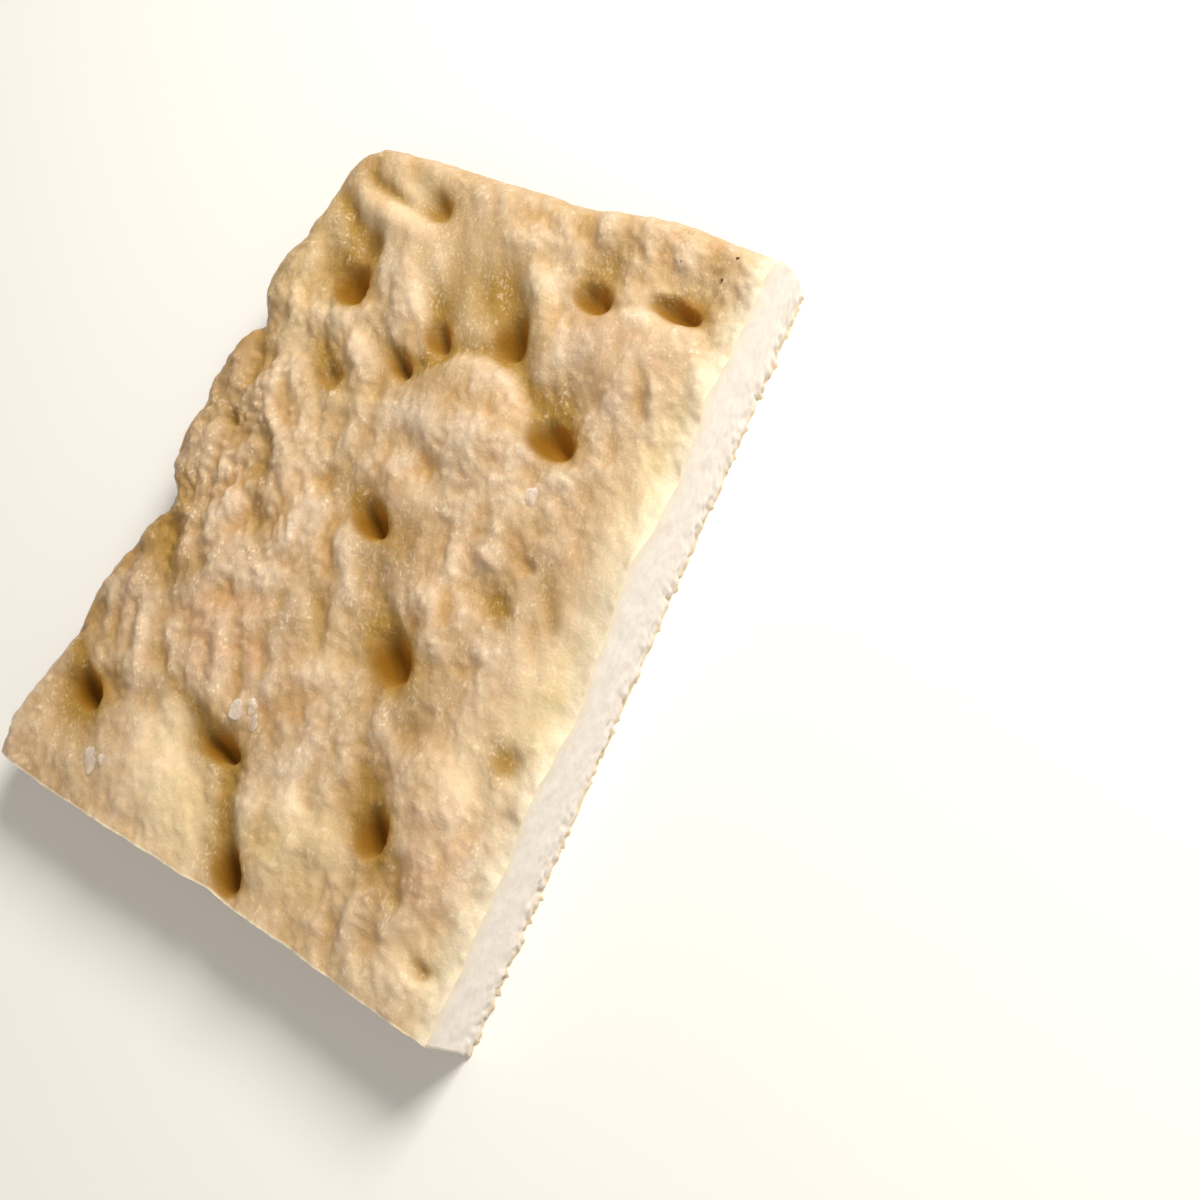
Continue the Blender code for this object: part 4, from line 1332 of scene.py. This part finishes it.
@dataclass(frozen=True)
class Bits:
    """Small flat bits that lie half sunk in the crust: grains of salt, or specks of char."""

    name: str
    slot: str
    flakes: tuple[Flake, ...]
    finish: Union[SaltFinish, SpeckFinish]
    thick: float
    form: SlabForm = SlabForm()
    boxiness: float = 0.85
    roughness: float = 0.55
    roughness_size: float = 1.9
    cuts: int = 3

    def lie(self, flake: Flake) -> Matrix:
        """Works out where a flake lies.

        Args:
            flake: The flake to place.

        Returns:
            A matrix that puts its middle on the crust and its flat side along the slope there.
        """
        form = self.form
        x = flake.x + np.array([0.0, flake.width / 2.0, 0.0])
        y = flake.y + np.array([0.0, 0.0, flake.width / 2.0])
        level, level_in_x, level_in_y = form.crust_level(x, y)
        slope = Vector((level - level_in_x, level - level_in_y, flake.width / 2.0)).normalized()
        place = Vector((flake.x - form.middle_x, flake.y - form.middle_y, level))
        tilt = Vector((0.0, 0.0, 1.0)).rotation_difference(slope).to_matrix().to_4x4()
        return Matrix.Translation(place * MM) @ tilt @ Matrix.Rotation(np.radians(flake.turn), 4, "Z")

    def bit(self, flake: Flake, into: bmesh.types.BMesh) -> None:
        """Adds one broken bit to a mesh.

        Args:
            flake: The flake to make.
            into: The mesh that gets it.
        """
        grown = bmesh.ops.create_icosphere(into, subdivisions=self.cuts, radius=0.5)["verts"]
        for point in grown:
            # Between a ball and a slab, then broken up by noise.
            point.co *= 0.5 / max(abs(point.co.x), abs(point.co.y), self.boxiness * point.co.length)
            spot = (point.co + Vector((flake.x, flake.y, 0.0))) * self.roughness_size
            point.co *= 1.0 + self.roughness * noise.noise(spot)
        size = Vector((flake.length, flake.width, self.thick)) * MM
        bmesh.ops.scale(into, vec=size, verts=grown)
        bmesh.ops.transform(into, verts=grown, matrix=self.lie(flake))

    def build(self) -> bpy.types.Object:
        """Builds all the bits as one piece."""
        bits = bmesh.new()
        for flake in self.flakes:
            self.bit(flake, bits)
        mesh = bpy.data.meshes.new(self.name)
        bits.to_mesh(mesh)
        bits.free()
        mesh.materials.append(self.finish.material())
        return new_piece(self.name, mesh)


# --- Studio ---


class Role(Enum):
    """What a light does: the main one, a weak one in the shadows, and the warm room's light thrown back."""

    KEY = "key"
    FILL = "fill"
    BOUNCE = "bounce"


@dataclass(frozen=True)
class Lamp:
    """A soft square light: the direction it comes from, how far it is, its size and its power."""

    role: Role
    towards: Triple
    distance_m: float
    size_m: float
    watts: float
    colour: str = "#FFFFFF"

    def build(self) -> bpy.types.Object:
        """Builds the light, turned to the piece."""
        light = bpy.data.lights.new(self.role.value, "AREA")
        light.size = self.size_m
        light.energy = self.watts
        light.color = linear(self.colour)[:3]
        lamp = bpy.data.objects.new(self.role.value, light)
        aim = Vector(self.towards).normalized()
        lamp.location = aim * self.distance_m
        lamp.rotation_euler = aim.to_track_quat("Z", "Y").to_euler()
        bpy.context.scene.collection.objects.link(lamp)
        return lamp


@dataclass(frozen=True)
class Studio:
    """The pale floor, the soft lights and the camera of the photograph.

    The camera stands about 0.55 m away and looks down on the piece from its right side.
    """

    floor_size_m: float = 12.0
    board: BoardFinish = BoardFinish()
    sky_colour: str = "#FFFAF2"
    sky_strength: float = 0.36
    lamps: tuple[Lamp, ...] = (
        Lamp(Role.KEY, (0.34, 0.78, 0.62), 1.1, 0.45, 15.0, "#FFFBF2"),
        Lamp(Role.FILL, (1.0, -0.25, 0.55), 1.1, 0.8, 1.0),
        Lamp(Role.BOUNCE, (-0.6, -0.75, 0.5), 1.1, 0.8, 0.9, "#FFD9B0"),
    )
    camera_place_mm: Triple = (296.15, -28.14, 380.86)
    camera_right: Triple = (0.78150, 0.44300, -0.43932)
    camera_up: Triple = (-0.33947, 0.89272, 0.29633)
    sensor_mm: float = 36.0
    lens_mm: float = 54.0
    clip_start_m: float = 0.01

    def floor(self) -> bpy.types.Object:
        """Builds the floor that the piece lies on."""
        sheet = bmesh.new()
        bmesh.ops.create_grid(sheet, x_segments=1, y_segments=1, size=self.floor_size_m / 2.0)
        mesh = bpy.data.meshes.new("floor")
        sheet.to_mesh(mesh)
        sheet.free()
        mesh.materials.append(self.board.material())
        floor = bpy.data.objects.new("floor", mesh)
        bpy.context.scene.collection.objects.link(floor)
        return floor

    def sky(self) -> None:
        """Lights the scene evenly from all round."""
        world = bpy.data.worlds.new("studio")
        world.use_nodes = True
        back = world.node_tree.nodes["Background"]
        back.inputs["Color"].default_value = linear(self.sky_colour)
        back.inputs["Strength"].default_value = self.sky_strength
        bpy.context.scene.world = world

    def camera(self) -> bpy.types.Object:
        """Builds the camera at the photograph's place and angle."""
        right = Vector(self.camera_right).normalized()
        up = Vector(self.camera_up)
        up = (up - up.dot(right) * right).normalized()
        turn = Matrix((right, up, right.cross(up))).transposed().to_4x4()
        lens = bpy.data.cameras.new("camera")
        lens.sensor_width = self.sensor_mm
        lens.lens = self.lens_mm
        lens.clip_start = self.clip_start_m
        camera = bpy.data.objects.new("camera", lens)
        camera.matrix_world = Matrix.Translation(Vector(self.camera_place_mm) * MM) @ turn
        bpy.context.scene.collection.objects.link(camera)
        bpy.context.scene.camera = camera
        return camera

    def build(self) -> None:
        """Builds the whole studio."""
        self.floor()
        self.sky()
        for lamp in self.lamps:
            lamp.build()
        self.camera()
        bpy.context.scene.view_settings.view_transform = "Standard"


def main() -> None:
    """Builds the studio, the bread, the salt and the specks, and reports each piece."""
    logging.basicConfig(level=logging.INFO, format="%(message)s")
    Studio().build()
    salt = Bits("salt_flakes", "salt", SALT, SaltFinish(), thick=1.6)
    specks = Bits("charred_specks", "crust", SPECKS, SpeckFinish(), thick=0.5)
    for maker in (Bread(), salt, specks):
        piece = maker.build()
        LOG.info("%s: %d faces", piece.name, len(piece.data.polygons))


if __name__ == "__main__":
    main()
